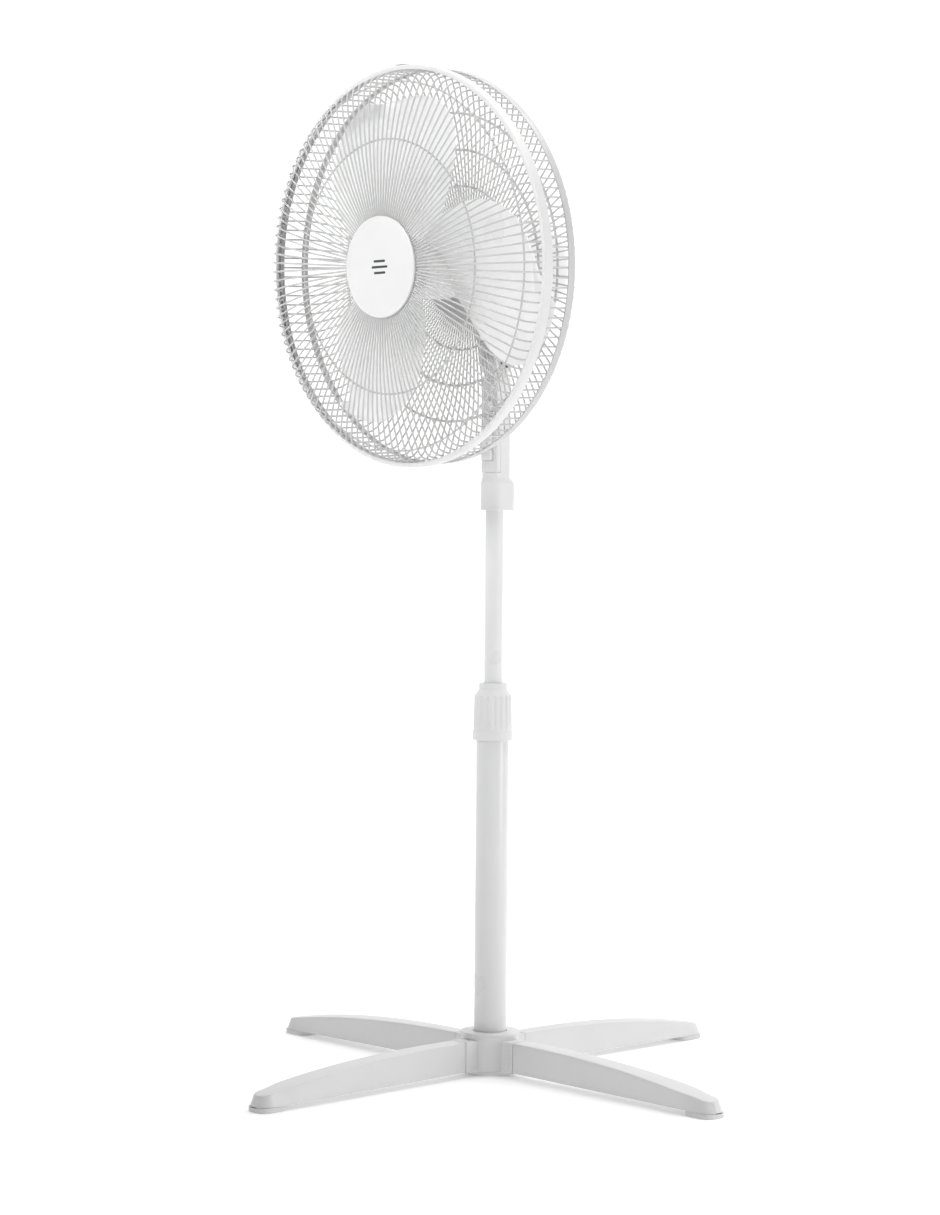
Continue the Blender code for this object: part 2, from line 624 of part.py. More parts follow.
def make_neck_cover(looks, section):
    cover = placed("neck_cover", prism(section, COVER_BOTTOM, COVER_TOP), looks["white"])
    wide = NECK_HALF_WIDTH + 0.01
    cut(cover, block((-wide, -COVER_SEAM, COVER_BOTTOM - 0.01), (wide, 0.05, COVER_TOP + 0.01)))
    inner = NECK_HALF_WIDTH - NECK_WALL
    wall = NECK_FRONT - NECK_WALL
    cut(cover, block((-inner, -wall, COVER_BOTTOM + NECK_WALL), (inner, 0.05, COVER_TOP - NECK_WALL)))
    side = BUTTON_HALF_WIDTH + RUN_GAP
    high = BUTTON_HALF_HEIGHT + RUN_GAP
    for z in button_heights():
        cut(cover, block((-side, -0.03, z - high), (side, 0.0, z + high)))


def make_neck_fittings(looks):
    wall = NECK_FRONT - NECK_WALL
    flange_front = wall - GAP
    for index, z in enumerate(button_heights()):
        half = BUTTON_HALF_WIDTH
        back = -flange_front + BUTTON_FLANGE / 2.0
        cap = block((-half, -NECK_FRONT - BUTTON_PROUD, z - BUTTON_HALF_HEIGHT),
                    (half, back, z + BUTTON_HALF_HEIGHT), BUTTON_EDGE)
        button = placed("speed_button_%d" % index, cap, looks["white"])
        wide = half + BUTTON_FLANGE
        high = BUTTON_HALF_HEIGHT + BUTTON_FLANGE
        add(button, block((-wide, -flange_front, z - high),
                          (wide, -flange_front + BUTTON_FLANGE, z + high)))
    back = -flange_front + BUTTON_FLANGE + BUTTON_TRAVEL + GAP
    rear = NECK_REAR - NECK_WALL - SWITCH_PLAY
    placed("switch_block", block((-SWITCH_HALF_WIDTH, back, COVER_BOTTOM + 0.006),
                                 (SWITCH_HALF_WIDTH, rear, COVER_TOP - 0.010)), looks["black"])
    face = (math.pi / 2, 0, 0)
    flange = GLAND_RADIUS + 0.0014
    placed("cord_inlet", turned([(GLAND_BORE, -GLAND_LENGTH), (flange, -GLAND_LENGTH), (flange, -GAP),
                                 (GLAND_RADIUS, -GAP), (GLAND_RADIUS, NECK_WALL),
                                 (GLAND_BORE, NECK_WALL)], 24),
           looks["white"], (0, NECK_REAR, GLAND_HEIGHT), face)
    for name, height in zip(("neck_screw_low", "neck_screw_high"), cover_screw_heights()):
        placed(name, screw(COVER_SCREW_RADIUS, COVER_SCREW_HEAD, NECK_WALL, 0.0014, 12), looks["steel"],
               (0, NECK_REAR + GAP, height), face)
    reach = NECK_SOCKET_REAR + GAP
    placed("neck_clamp_screw", screw(CLAMP_SCREW_RADIUS, CLAMP_SCREW_HEAD,
                                     reach - UPPER_POLE_RADIUS - GAP, CLAMP_SCREW_KNOB), looks["dark"],
           (0, reach, CLAMP_SCREW_HEIGHT), face)


# ---- tilt joint ------------------------------------------------------------------------------
def make_tilt_joint(looks, tilt):
    """The bracket hangs on the tilt axis; the head swings on the pin that stands in its platform."""
    inside = TILT_TONGUE_HALF + RUN_GAP
    outside = inside + TILT_EAR_THICK
    top = PLATFORM_TOP + AXIS_RISE
    low = top - PLATFORM_THICK
    platform = block((-PLATFORM_HALF, -PLATFORM_FRONT, low), (PLATFORM_HALF, PLATFORM_BACK, top),
                     PLATFORM_EDGE)
    bracket = placed("tilt_bracket", platform, looks["white"], parent=tilt)
    ear = [(TILT_EAR_RADIUS * math.cos(math.radians(a)), TILT_EAR_RADIUS * math.sin(math.radians(a)))
           for a in range(-180, 1, 20)]
    ear += [(PLATFORM_BACK - 0.003, low + 0.002), (-PLATFORM_FRONT + 0.003, low + 0.002)]
    for start in (inside, -outside):
        cheek = prism([(y, z) for y, z in ear], start, start + TILT_EAR_THICK)
        for vert in cheek.verts:
            vert.co = (vert.co.z, vert.co.x, vert.co.y)
        add(bracket, cheek)
    lug_x = LINK_PIVOT_X
    lug_half = LUG_RADIUS * 0.9
    add(bracket, block((lug_x, LINK_PIVOT_Y - lug_half, low + LUG_INSET * 2.0),
                       (0.0, LINK_PIVOT_Y + lug_half, top - LUG_INSET * 2.0)))
    add(bracket, rod(LUG_RADIUS, low + LUG_INSET, LINK_TOP - LINK_THICK - GAP + AXIS_RISE, 24),
        (lug_x, LINK_PIVOT_Y, 0))
    cut(bracket, rod(PIVOT_RADIUS + GAP, low - 0.01, top + 0.01))
    cut(bracket, rod(LINK_SCREW_RADIUS + GAP, low - 0.01, top + 0.01, 16), (lug_x, LINK_PIVOT_Y, 0))
    cut(bracket, rod(TILT_BOLT_RADIUS + RUN_GAP, -0.03, 0.03), (0, 0, 0), (0, math.pi / 2, 0))
    side = (0, math.pi / 2, 0)
    nut_bore = TILT_BOLT_RADIUS + GAP
    bolt = screw(TILT_BOLT_RADIUS, TILT_BOLT_HEAD, outside * 2.0 + GAP + 0.0040, TILT_BOLT_HEAD_THICK, 24)
    placed("tilt_bolt", bolt, looks["dark"], (outside + GAP, 0, 0), (0, -math.pi / 2, 0), tilt)
    placed("tilt_nut", turned([(nut_bore, 0.0), (NUT_RADIUS, 0.0), (NUT_RADIUS, NUT_THICK),
                               (nut_bore, NUT_THICK)], 24, hexagonal((1, 2))),
           looks["steel"], (-outside - GAP - NUT_THICK, 0, 0), side, tilt)
    head_top = low - GAP
    head_low = head_top - PIVOT_HEAD_THICK
    end = PIVOT_TOP + AXIS_RISE
    head = PIVOT_HEAD_RADIUS
    placed("pivot_pin", turned([(0.0, head_low), (head, head_low), (head, head_top),
                                (PIVOT_RADIUS, head_top), (PIVOT_RADIUS, end), (0.0, end)], 24),
           looks["steel"], parent=tilt)


def crank_pin():
    return (GEAR_X + CRANK_THROW * math.cos(CRANK_PHASE), GEAR_Y + CRANK_THROW * math.sin(CRANK_PHASE))


def make_link(looks, swing):
    """The flat link between the bracket's lug and the crank pin; its lug end is the pivot."""
    end = crank_pin()
    reach = (end[0] - LINK_PIVOT_X, end[1] - LINK_PIVOT_Y)
    length = math.hypot(*reach)
    angle = math.atan2(reach[1], reach[0])
    half = LINK_WIDTH / 2.0
    outline = [(half * math.cos(math.radians(a)), half * math.sin(math.radians(a)))
               for a in range(90, 271, 20)]
    outline += [(length + half * math.cos(math.radians(a)), half * math.sin(math.radians(a)))
                for a in range(-90, 91, 20)]
    at = (LINK_PIVOT_X, LINK_PIVOT_Y, 0.0)
    link = placed("link_arm", prism(outline, LINK_TOP - LINK_THICK, LINK_TOP), looks["steel"], at,
                  (0, 0, angle), swing)
    cut(link, rod(LINK_SCREW_RADIUS + RUN_GAP, LINK_TOP - 0.01, LINK_TOP + 0.01, 16), at)
    head_low = LINK_TOP + GAP
    end = head_low - LINK_SCREW_LENGTH
    shank = turned([(0.0, end), (LINK_SCREW_RADIUS, end),
                    (LINK_SCREW_RADIUS, head_low), (0.0040, head_low), (0.0034, head_low + 0.0020),
                    (0.0, head_low + 0.0020)], 16)
    placed("link_screw", shank, looks["steel"], at, parent=swing)


# ---- motor and swing drive ---------------------------------------------------------------------
def make_motor(looks, fan):
    """Pieces turned about the fan axis; local z is the distance in front of the swing axis."""
    nose = NOSE_RADIUS
    skirt = MOTOR_RADIUS - 0.0028
    bush = BUSH_RADIUS + GAP
    core_front = CORE_FRONT + GAP
    placed("motor_front_plate", turned([
        (skirt, PLATE_FLANGE), (COVER_RADIUS, PLATE_FLANGE), (COVER_RADIUS, PLATE_FLANGE + 0.0035),
        (MOTOR_RADIUS, PLATE_FLANGE + 0.0050), (MOTOR_RADIUS - 0.003, MOTOR_FACE), (nose, MOTOR_FACE),
        (nose, BOSS_NOSE), (bush, BOSS_NOSE), (bush, MOTOR_FACE - PLATE_WALL),
        (skirt, MOTOR_FACE - PLATE_WALL)]),
        looks["grey"], parent=fan)
    bush_front = BOSS_NOSE - 0.0010
    run = SHAFT_RADIUS + RUN_GAP
    bore = [(run, 0.0), (BUSH_RADIUS, 0.0), (BUSH_RADIUS, BUSH_LENGTH), (run, BUSH_LENGTH)]
    placed("front_bush", turned(bore, 24), looks["bronze"], (0, 0, bush_front - BUSH_LENGTH), parent=fan)
    placed("stator_core", turned([(CORE_BORE, CORE_BACK), (CORE_RADIUS, CORE_BACK),
                                  (CORE_RADIUS, CORE_FRONT), (CORE_BORE, CORE_FRONT)]),
           looks["core"], parent=fan)
    inner = CORE_BORE + WINDING_INSET
    outer = CORE_RADIUS - WINDING_INSET
    front_end = core_front + WINDING_FRONT
    placed("winding_front", turned([(inner, core_front), (outer, core_front),
                                    (outer - WINDING_DRAFT, front_end), (inner + WINDING_DRAFT, front_end)]),
           looks["copper"], parent=fan)
    back = CORE_BACK - GAP
    rear_end = back - WINDING_REAR
    placed("winding_rear", turned([(inner + WINDING_DRAFT, rear_end), (outer - WINDING_DRAFT, rear_end),
                                   (outer, back), (inner, back)]), looks["copper"], parent=fan)
    shaft = SHAFT_RADIUS + GAP
    placed("rotor", turned([(shaft, CORE_BACK), (ROTOR_RADIUS, CORE_BACK), (ROTOR_RADIUS, CORE_FRONT),
                            (shaft, CORE_FRONT)]), looks["core"], parent=fan)
    wall = REAR_PLATE_BACK + PLATE_WALL
    grip = CORE_BACK + 0.010
    seat = CORE_RADIUS + GAP
    hub = 0.0110
    low = REAR_PLATE_BACK
    placed("motor_rear_plate", turned([
        (bush, low), (MOTOR_RADIUS - 0.003, low), (MOTOR_RADIUS, low + 0.003),
        (MOTOR_RADIUS, grip), (seat, grip), (seat, wall), (hub, wall), (hub, wall + 0.0080),
        (bush, wall + 0.0080)]), looks["cast"], parent=fan)
    placed("rear_bush", turned(bore, 24), looks["bronze"], (0, 0, REAR_PLATE_BACK), parent=fan)
    tip = BAND_FRONT + BLADE_HUB_FRONT + 0.0110
    worm_end = -GEAR_Y - WORM_REACH
    worm_start = REAR_PLATE_BACK - 0.003
    placed("motor_shaft", turned([(0.0, worm_end), (WORM_RADIUS, worm_end), (WORM_RADIUS, worm_start),
                                  (SHAFT_RADIUS, worm_start), (SHAFT_RADIUS, tip), (0.0, tip)], 24),
           looks["steel"], parent=fan)


def make_gearbox(looks, swing):
    """The casting behind the motor: it houses the worm wheel and reaches down to the swing boss."""
    half = WHEEL_RADIUS + GEARBOX_WALL
    back = GEARBOX_BACK
    front = GEARBOX_FRONT
    tall = GEARBOX_HALF_HEIGHT
    case = placed("gearbox_case", block((GEAR_X - half, front, -tall), (GEARBOX_RIGHT, back, tall), 0.0015),
                  looks["cast"], parent=swing)
    arm_back = front + ARM_DEPTH
    foot_low = BOSS_TOP - ARM_FOOT_THICK
    add(case, block((-ARM_HALF_WIDTH, front, BOSS_TOP - 0.0025), (ARM_HALF_WIDTH, arm_back, 0.0)))
    add(case, block((-ARM_FOOT, -ARM_FOOT, foot_low), (ARM_FOOT, arm_back, BOSS_TOP)))
    add(case, rod(BOSS_RADIUS, PLATFORM_TOP + GAP, BOSS_TOP, 20))
    rearward = (-math.pi / 2, 0, 0)
    add(case, rod(STALK_RADIUS, back - 0.002, -COVER_BACK - COVER_WALL - GAP, 20), rotation=rearward)
    cut(case, rod(PIVOT_RADIUS + RUN_GAP, PLATFORM_TOP - 0.01, BOSS_TOP + 0.01))
    cut(case, rod(WHEEL_RADIUS + 0.0004, -0.010, tall + 0.01, 28), (GEAR_X, GEAR_Y, 0))
    cut(case, rod(CRANK_SHAFT_RADIUS + RUN_GAP, -tall - 0.01, 0.0), (GEAR_X, GEAR_Y, 0))
    cut(case, rod(SHAFT_RADIUS + RUN_GAP, front - 0.02, GEAR_Y + WORM_REACH + 0.0015), rotation=rearward)
    screw_end = -COVER_BACK - REAR_SCREW_LENGTH
    cut(case, rod(COVER_SCREW_RADIUS + GAP, screw_end - 0.0040, 0.12, 16), rotation=rearward)
    bore = KNOB_STEM_RADIUS + RUN_GAP
    rim = WHEEL_RADIUS + GEARBOX_WALL - 0.0005
    placed("gearbox_lid", turned([(bore, tall + GAP), (rim, tall + GAP), (rim, tall + LID_THICK),
                                  (bore, tall + LID_THICK)], 32), looks["black"], (GEAR_X, GEAR_Y, 0),
           parent=swing)


def make_drive(looks, swing):
    def toothed(row, step, radius):
        return radius - WHEEL_TOOTH if row in (1, 2) and step % 2 else radius

    shaft = CRANK_SHAFT_RADIUS + GAP
    placed("worm_wheel", turned([(shaft, -WHEEL_HALF), (WHEEL_RADIUS, -WHEEL_HALF),
                                 (WHEEL_RADIUS, WHEEL_HALF), (shaft, WHEEL_HALF)], WHEEL_TEETH * 2, toothed),
           looks["nylon"], (GEAR_X, GEAR_Y, 0), parent=swing)
    low = CRANK_DISC_TOP - CRANK_DISC_THICK
    disc = CRANK_DISC_RADIUS
    stem = CRANK_SHAFT_RADIUS
    end = WHEEL_HALF - 0.0005
    crank = placed("crank", turned([(0.0, low), (disc, low), (disc, CRANK_DISC_TOP), (stem, CRANK_DISC_TOP),
                                    (stem, end), (0.0, end)], 32), looks["steel"], (GEAR_X, GEAR_Y, 0),
                   parent=swing)
    add(crank, rod(CRANK_PIN_RADIUS, low - CRANK_PIN_LENGTH, low + 0.001, 16), (*crank_pin(), 0.0))
    top = KNOB_BOTTOM + KNOB_HEIGHT
    placed("swing_knob", turned([(0.0, WHEEL_HALF + 0.0010), (KNOB_STEM_RADIUS, WHEEL_HALF + 0.0010),
                                 (KNOB_STEM_RADIUS, KNOB_BOTTOM), (KNOB_RADIUS * 0.85, KNOB_BOTTOM),
                                 (KNOB_RADIUS * 0.92, top - 0.004), (KNOB_RADIUS, top - 0.002),
                                 (KNOB_RADIUS * 0.8, top), (0.0, top)], 20), looks["white"],
           (GEAR_X, GEAR_Y, 0), parent=swing)


def make_motor_cover(looks, fan, swing):
    outer = COVER_RADIUS
    end = COVER_BACK
    hole = COVER_SCREW_RADIUS + GAP
    front = PLATE_FLANGE - GAP
    deep = COVER_STRAIGHT - end
    arc = [math.radians(a) for a in range(0, 91, 15)]
    shoulder = COVER_SHOULDER
    outside = [(shoulder + (outer - shoulder) * math.cos(a), COVER_STRAIGHT - deep * math.sin(a))
               for a in arc]
    inside = [(shoulder + (outer - shoulder - COVER_WALL) * math.cos(a),
               COVER_STRAIGHT - (deep - COVER_WALL) * math.sin(a)) for a in reversed(arc)]
    profile = [(outer, front)] + outside + [(hole, end), (hole, end + COVER_WALL)] + inside
    profile.append((outer - COVER_WALL, front))
    cover = placed("motor_cover", turned(profile), looks["white"], parent=fan)
    # In the fan frame local y is the head's upward direction and local z points forward.
    down = (math.pi / 2, 0, 0)
    up = (-math.pi / 2, 0, 0)
    side = (GEAR_X, 0.0, -GEAR_Y)
    inner_reach = outer * 0.6
    outer_reach = outer + 0.024
    cut(cover, rod(BOSS_RADIUS + 0.0015, inner_reach, outer_reach, 20), (0, 0, 0), down)
    cut(cover, rod(CRANK_SHAFT_RADIUS + 0.0010, inner_reach, outer_reach), side, down)
    cut(cover, rod(KNOB_STEM_RADIUS + 0.0008, inner_reach, outer_reach), side, up)
    placed("cover_screw", screw(COVER_SCREW_RADIUS, 0.0032, REAR_SCREW_LENGTH, 0.0016, 12), looks["steel"],
           (0, 0, end - GAP), parent=fan)


# ---- guard ------------------------------------------------------------------------------------
def guard_mesh(rows, ring_spans, bars=BAR_COUNT, width=WIRE * 1.2):
    """A sheet of radial bars and full rings: rows are (radius, z), ring_spans the rows whose
    stretch to the next row is a whole ring. A Solidify modifier gives it its wire thickness."""
    shape = bmesh.new()
    pitch = 2.0 * math.pi / bars
    grid = []
    for index, (radius, z) in enumerate(rows):
        half = math.asin(width / 2.0 / radius)
        ringed = index in ring_spans or index - 1 in ring_spans
        verts = {}
        for bar in range(bars):
            verts["left", bar] = (bar * pitch - half)
            verts["right", bar] = (bar * pitch + half)
            if ringed:
                verts["middle", bar] = (bar + 0.5) * pitch
        grid.append({key: shape.verts.new((radius * math.cos(a), radius * math.sin(a), z))
                     for key, a in verts.items()})
    for index in range(len(rows) - 1):
        here, there = grid[index], grid[index + 1]
        for bar in range(bars):
            after = (bar + 1) % bars
            spans = [(("left", bar), ("right", bar))]
            if index in ring_spans:
                spans += [(("right", bar), ("middle", bar)), (("middle", bar), ("left", after))]
            for one, other in spans:
                shape.faces.new([here[one], here[other], there[other], there[one]])
    return shape


def make_guard_half(name, rows, ring_spans, looks, fan):
    guard = placed(name, guard_mesh(rows, ring_spans), looks["white"], (0, 0, BAND_FRONT), parent=fan)
    thick = guard.modifiers.new("wire", "SOLIDIFY")
    thick.thickness = WIRE
    thick.offset = 0.0
    thick.use_even_offset = True
    return guard


def make_guard(looks, fan):
    behind_badge = BADGE_FACE - BADGE_THICK - WIRE / 2.0 - GAP
    make_guard_half("front_guard", [
        (BADGE_RADIUS - 0.0140, behind_badge), (BADGE_RADIUS - 0.0010, behind_badge),
        (FRONT_INNER_RING - RING_HALF, 0.0260), (FRONT_INNER_RING + RING_HALF, 0.0258),
        (FRONT_OUTER_RING - RING_HALF, 0.0145), (FRONT_OUTER_RING + RING_HALF, 0.0141),
        (GUARD_RADIUS - 0.0090, 0.0070), (GUARD_RADIUS - 0.0075, 0.0015), (GUARD_RADIUS - 0.0070, -0.0022),
        (RIM_RADIUS, -0.0038)], {0, 2, 4, 8}, looks, fan)
    centre = GUARD_BACK + 0.0015
    make_guard_half("rear_guard", [
        (RIM_RADIUS - 0.0040, -0.0080), (RIM_RADIUS, -0.0090), (RIM_RADIUS, HOOP_FRONT),
        (RIM_RADIUS, HOOP_BACK),
        (REAR_SHOULDER, HOOP_BACK - 0.0085), (REAR_OUTER_RING + REAR_RING_HALF, -0.0680),
        (REAR_OUTER_RING - REAR_RING_HALF, -0.0690), (REAR_INNER_RING + REAR_RING_HALF, -0.0790),
        (REAR_INNER_RING - REAR_RING_HALF, -0.0800), (REAR_DISC_RADIUS, GUARD_BACK + 0.0020),
        (REAR_DISC_FLAT, centre), (GUARD_CENTRE_RADIUS, centre)], {0, 2, 5, 7, 9, 10}, looks, fan)
    clear = GUARD_RADIUS - BAND_THICK
    lip = GUARD_RADIUS - BAND_LIP
    placed("trim_band", turned([(clear, -BAND_DEPTH), (GUARD_RADIUS, -BAND_DEPTH), (GUARD_RADIUS, -0.0004),
                                (GUARD_RADIUS - 0.0004, 0.0), (lip, 0.0), (lip, -BAND_THICK),
                                (clear, -BAND_THICK)], 60), looks["white"], (0, 0, BAND_FRONT), parent=fan)
    edge = GUARD_RADIUS + GAP
    placed("guard_clip", block((-CLIP_HALF_WIDTH, edge, BAND_FRONT - BAND_DEPTH),
                               (CLIP_HALF_WIDTH, edge + CLIP_THICK, BAND_FRONT), 0.0004), looks["white"],
           parent=fan)
    face = BADGE_FACE
    rim = BADGE_RADIUS
    placed("badge", turned([(0.0, face - BADGE_THICK), (rim, face - BADGE_THICK), (rim, face - BADGE_EDGE),
                            (rim - BADGE_EDGE, face), (0.0, face)], 40), looks["white"], (0, 0, BAND_FRONT),
           parent=fan)
    nut_back = centre + WIRE / 2.0 + GAP
    nut_front = nut_back + GUARD_NUT_THICK
    bore = NOSE_RADIUS + GAP
    rim = GUARD_NUT_RADIUS
    placed("guard_nut", turned([(bore, nut_back), (rim, nut_back), (rim, nut_front), (bore, nut_front)]),
           looks["white"], (0, 0, BAND_FRONT), parent=fan)


# ---- blade --------------------------------------------------------------------------------------
def blade_edges(share):
    """Angles of the trailing and leading edges, degrees, at a share of the span from hub to tip."""
    trailing = 50.0 - 38.0 * share ** 1.25
    leading = -45.0 - 6.0 * math.sin(math.pi * share) + 5.0 * share
    tip = max(0.0, share - 0.62) / 0.38
    close = 1.0 - math.sqrt(max(0.0, 1.0 - tip ** 2.6))
    middle = -13.0
    return trailing + (middle - trailing) * close * 0.86, leading + (middle - leading) * close * 0.86


def petal(turn):
    rows, columns = 7, 6
    start = BLADE_HUB_RADIUS - BLADE_HUB_WALL * 0.6
    shape = bmesh.new()
    grid = []
    for row in range(rows + 1):
        share = (row / rows) ** 0.85
        radius = start + (BLADE_RADIUS - start) * share
        trailing, leading = blade_edges(share)
        line = []
        for column in range(columns + 1):
            across = column / columns
            angle = math.radians(leading + (trailing - leading) * across + turn)
            bow = BLADE_CAMBER * math.sin(math.pi * across)
            depth = BLADE_BACK + (BLADE_FRONT - BLADE_BACK) * across - bow
            line.append(shape.verts.new((radius * math.cos(angle), radius * math.sin(angle), depth)))
        grid.append(line)
    for first, second in zip(grid, grid[1:]):
        for column in range(columns):
            shape.faces.new([first[column], first[column + 1], second[column + 1], second[column]])
    return shape


def make_blade(looks, fan):
    wall = BLADE_HUB_WALL
    front = BLADE_HUB_FRONT
    bore = SHAFT_RADIUS + GAP
    inner = BLADE_HUB_RADIUS - wall
    boss = BLADE_BOSS_RADIUS
    boss_back = BLADE_HUB_BACK + BLADE_BOSS_INSET
    hub = turned([(bore, boss_back), (boss, boss_back), (boss, front - wall),
                  (inner, front - wall), (inner, BLADE_HUB_BACK), (BLADE_HUB_RADIUS, BLADE_HUB_BACK),
                  (BLADE_HUB_RADIUS, front - 0.002), (BLADE_HUB_RADIUS - 0.002, front), (bore, front)])
    blade = placed("fan_blade", hub, looks["white"], (0, 0, BAND_FRONT), parent=fan)
    for index in range(BLADE_COUNT):
        wing = helper("petal_%d" % index, petal(360.0 * index / BLADE_COUNT), blade, (0, 0, BAND_FRONT))
        thick = wing.modifiers.new("sheet", "SOLIDIFY")
        thick.thickness = BLADE_THICK
        thick.offset = 0.0
        boolean(blade, wing, "UNION")
    rim = SPINNER_RADIUS
    seat = front + GAP
    pocket = front + 0.0120
    placed("spinner_nut", turned([(0.0, pocket), (0.0, front + 0.0150), (rim * 0.55, front + 0.0140),
                                  (rim * 0.92, front + 0.0100), (rim, front + 0.0050), (rim, seat),
                                  (bore, seat), (bore, pocket)]), looks["white"], (0, 0, BAND_FRONT),
           parent=fan)


def main():
    clear_scene()
    looks = make_looks()
    tilt = empty("tilt_axis", (0.0, 0.0, TILT_HEIGHT), (REST_TILT, 0.0, 0.0))
    swing = empty("swing_axis", (0.0, 0.0, AXIS_RISE), parent=tilt)
    fan = empty("fan_axis", (0.0, 0.0, 0.0), (math.pi / 2.0, 0.0, 0.0), swing)
    make_hub(looks)
    make_legs(looks)
    make_base_fixings(looks)
    make_poles(looks)
    make_collar(looks)
    make_neck(looks)
    make_tilt_joint(looks, tilt)
    make_link(looks, swing)
    make_motor(looks, fan)
    make_gearbox(looks, swing)
    make_drive(looks, swing)
    make_motor_cover(looks, fan, swing)
    make_guard(looks, fan)
    make_blade(looks, fan)


main()
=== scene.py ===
"""Pedestal fan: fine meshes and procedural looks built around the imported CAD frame.

Metres, +Z up, origin on the floor under the pole. Guard and blade are built in the guard's own
frame: local z points out of the fan's front and z = 0 is the front edge of the trim band. The
motor's pieces use the same directions with z = 0 at the swing axis.
"""
import math

import bmesh
import bpy
import numpy as np
from mathutils import Matrix, Vector


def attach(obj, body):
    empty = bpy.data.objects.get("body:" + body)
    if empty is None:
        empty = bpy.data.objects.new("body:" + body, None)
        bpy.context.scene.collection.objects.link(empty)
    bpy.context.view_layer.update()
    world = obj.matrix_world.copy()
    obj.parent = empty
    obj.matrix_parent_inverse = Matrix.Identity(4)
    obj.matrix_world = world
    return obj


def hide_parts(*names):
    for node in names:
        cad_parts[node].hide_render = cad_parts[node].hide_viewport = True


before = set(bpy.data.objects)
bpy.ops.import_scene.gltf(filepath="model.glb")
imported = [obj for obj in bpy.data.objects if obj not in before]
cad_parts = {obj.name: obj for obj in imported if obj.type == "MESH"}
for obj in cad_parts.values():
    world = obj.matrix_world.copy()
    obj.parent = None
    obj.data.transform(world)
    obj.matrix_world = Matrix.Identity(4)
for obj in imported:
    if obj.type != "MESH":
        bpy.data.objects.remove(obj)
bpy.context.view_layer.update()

TAU = 2.0 * math.pi

# ---- sizes of the base and the mast --------------------------------------------------
GAP = 0.0003                # clearance between neighbouring pieces
HUB_BOTTOM = 0.0055
HUB_TOP = 0.0470
HUB_RADIUS = 0.0325
HUB_RIM_RADIUS = 0.0330
SOCKET_REACH = 0.0475
SOCKET_HALF_WIDTH = 0.0122
SOCKET_TOP = 0.0400
SOCKET_NECKING = 0.0006     # the socket arm is this much smaller than its end lip
LEG_REACH = 0.3414
LEG_WIDTH = 0.0215          # at the hub
FOOT_WIDTH = 0.0320
FOOT_SLOPE = 0.0045         # how far the foot's walls lean in
FOOT_LEAN_START = 0.034     # the walls start to lean this far before the round end's centre
FOOT_LEAN_LENGTH = 0.030    # and lean fully after this length
LEG_ROOT_TOP = 0.0395
LEG_ARCH_DROP = 0.0230
LEG_ARCH = 2.4              # how late the top drops towards the tip
PAD_REACH = 0.3216
PAD_HALF_LENGTH = 0.0195
PAD_HALF_WIDTH = 0.0157
PAD_TOP = 0.0054
WIDE_POLE = (0.0180, 0.0014, 0.0138, 0.3800)    # radius, wall, bottom, top
THIN_POLE = (0.0100, 0.0012, 0.2200, 0.6590)
COLLAR_BOTTOM = 0.372
COLLAR_TOP = 0.435
COLLAR_RADIUS = 0.0222
COLLAR_BODY_RADIUS = 0.0215
COLLAR_CAP_RADIUS = 0.0156
FLUTE_COUNT = 18
FLUTE_DEPTH = 0.0011
NECK_BOTTOM = 0.627
NECK_TOP = 0.774
NECK_BODY = (0.0125, 0.0100, 0.0136, 0.0055)    # half width, front, rear, corner
NECK_SOCKET = (0.0150, 0.0121, 0.0205, 0.0100)
SHOULDER_LOW = 0.6562       # the neck narrows from its socket to its body above here
SHOULDER_HEIGHT = 0.0078
COVER_BOTTOM = 0.669
COVER_TOP = 0.770
COVER_SEAM = -0.0036
TILT_LUG_RADIUS = 0.0098
KEY_COUNT = 4
KEY_LOWEST = 0.688
KEY_PITCH = 0.018
KEY_HALF = (0.0070, 0.0058)     # half width, half height
KEY_GAP = 0.0003
CLAMP_SCREW_PLACE = (0.0, 0.0103, 0.650)

# ---- sizes of the head -----------------------------------------------------------------
TILT_HEIGHT = 0.790
REST_TILT = math.radians(2.8)
AXIS_RISE = 0.104           # tilt axis to fan axis
BAND_FRONT = 0.1343         # swing axis to the front edge of the trim band
GUARD_RADIUS = 0.2150
HOOP_RADIUS = 0.2112        # the guards' outer hoops, inside the trim band
HOOP_WIRE = 0.0013
WIRE = 0.0010               # wire radius
WIRE_COUNT = 126
FRONT_RINGS = ((0.1357, 0.0260), (0.1967, 0.0143))      # radius, height of the wires there
REAR_RINGS = ((0.1670, -0.0685 + 2.2 * WIRE, 0.0014), (0.1280, -0.0790 + 2.2 * WIRE, 0.0014),
              (0.0890, -0.0852 + 2.0 * WIRE, 0.0012))   # radius, height, wire radius
WIRE_START = 0.046          # under the badge
DOME_TOP = 0.0312
DOME_DROP = 0.0052          # how far the dome has dropped at the first ring
DOME_POWER = 3.17
BADGE_RADIUS = 0.0543
BADGE_FACE = 0.0352
BADGE_THICK = 0.0030
BLADE_COUNT = 3
BLADE_ROOT = 0.0330
BLADE_TIP = 0.1899
BLADE_BACK = -0.0450
BLADE_DEPTH = 0.0350        # the leading edge stands this far behind the trailing one
BLADE_CAMBER = 0.0062
BLADE_THICK = 0.0019
BLADE_HUB_RADIUS = 0.0340
BLADE_HUB_WALL = 0.0025
BLADE_HUB_FRONT = -0.0040
SHELL_RADIUS = 0.0550       # middle of the motor cover's wall
SHELL_THICK = 0.0018
SHELL_FRONT = 0.0212
SHELL_BEND = -0.0380        # the cover starts to close in here
SHELL_END = -0.0790
SHELL_FLAT = 0.0300         # radius of the flat at its back
SHELL_STEPS = 96
GEAR = Vector((-0.0175, 0.0260, 0.0))       # axis of the worm wheel, crank and knob

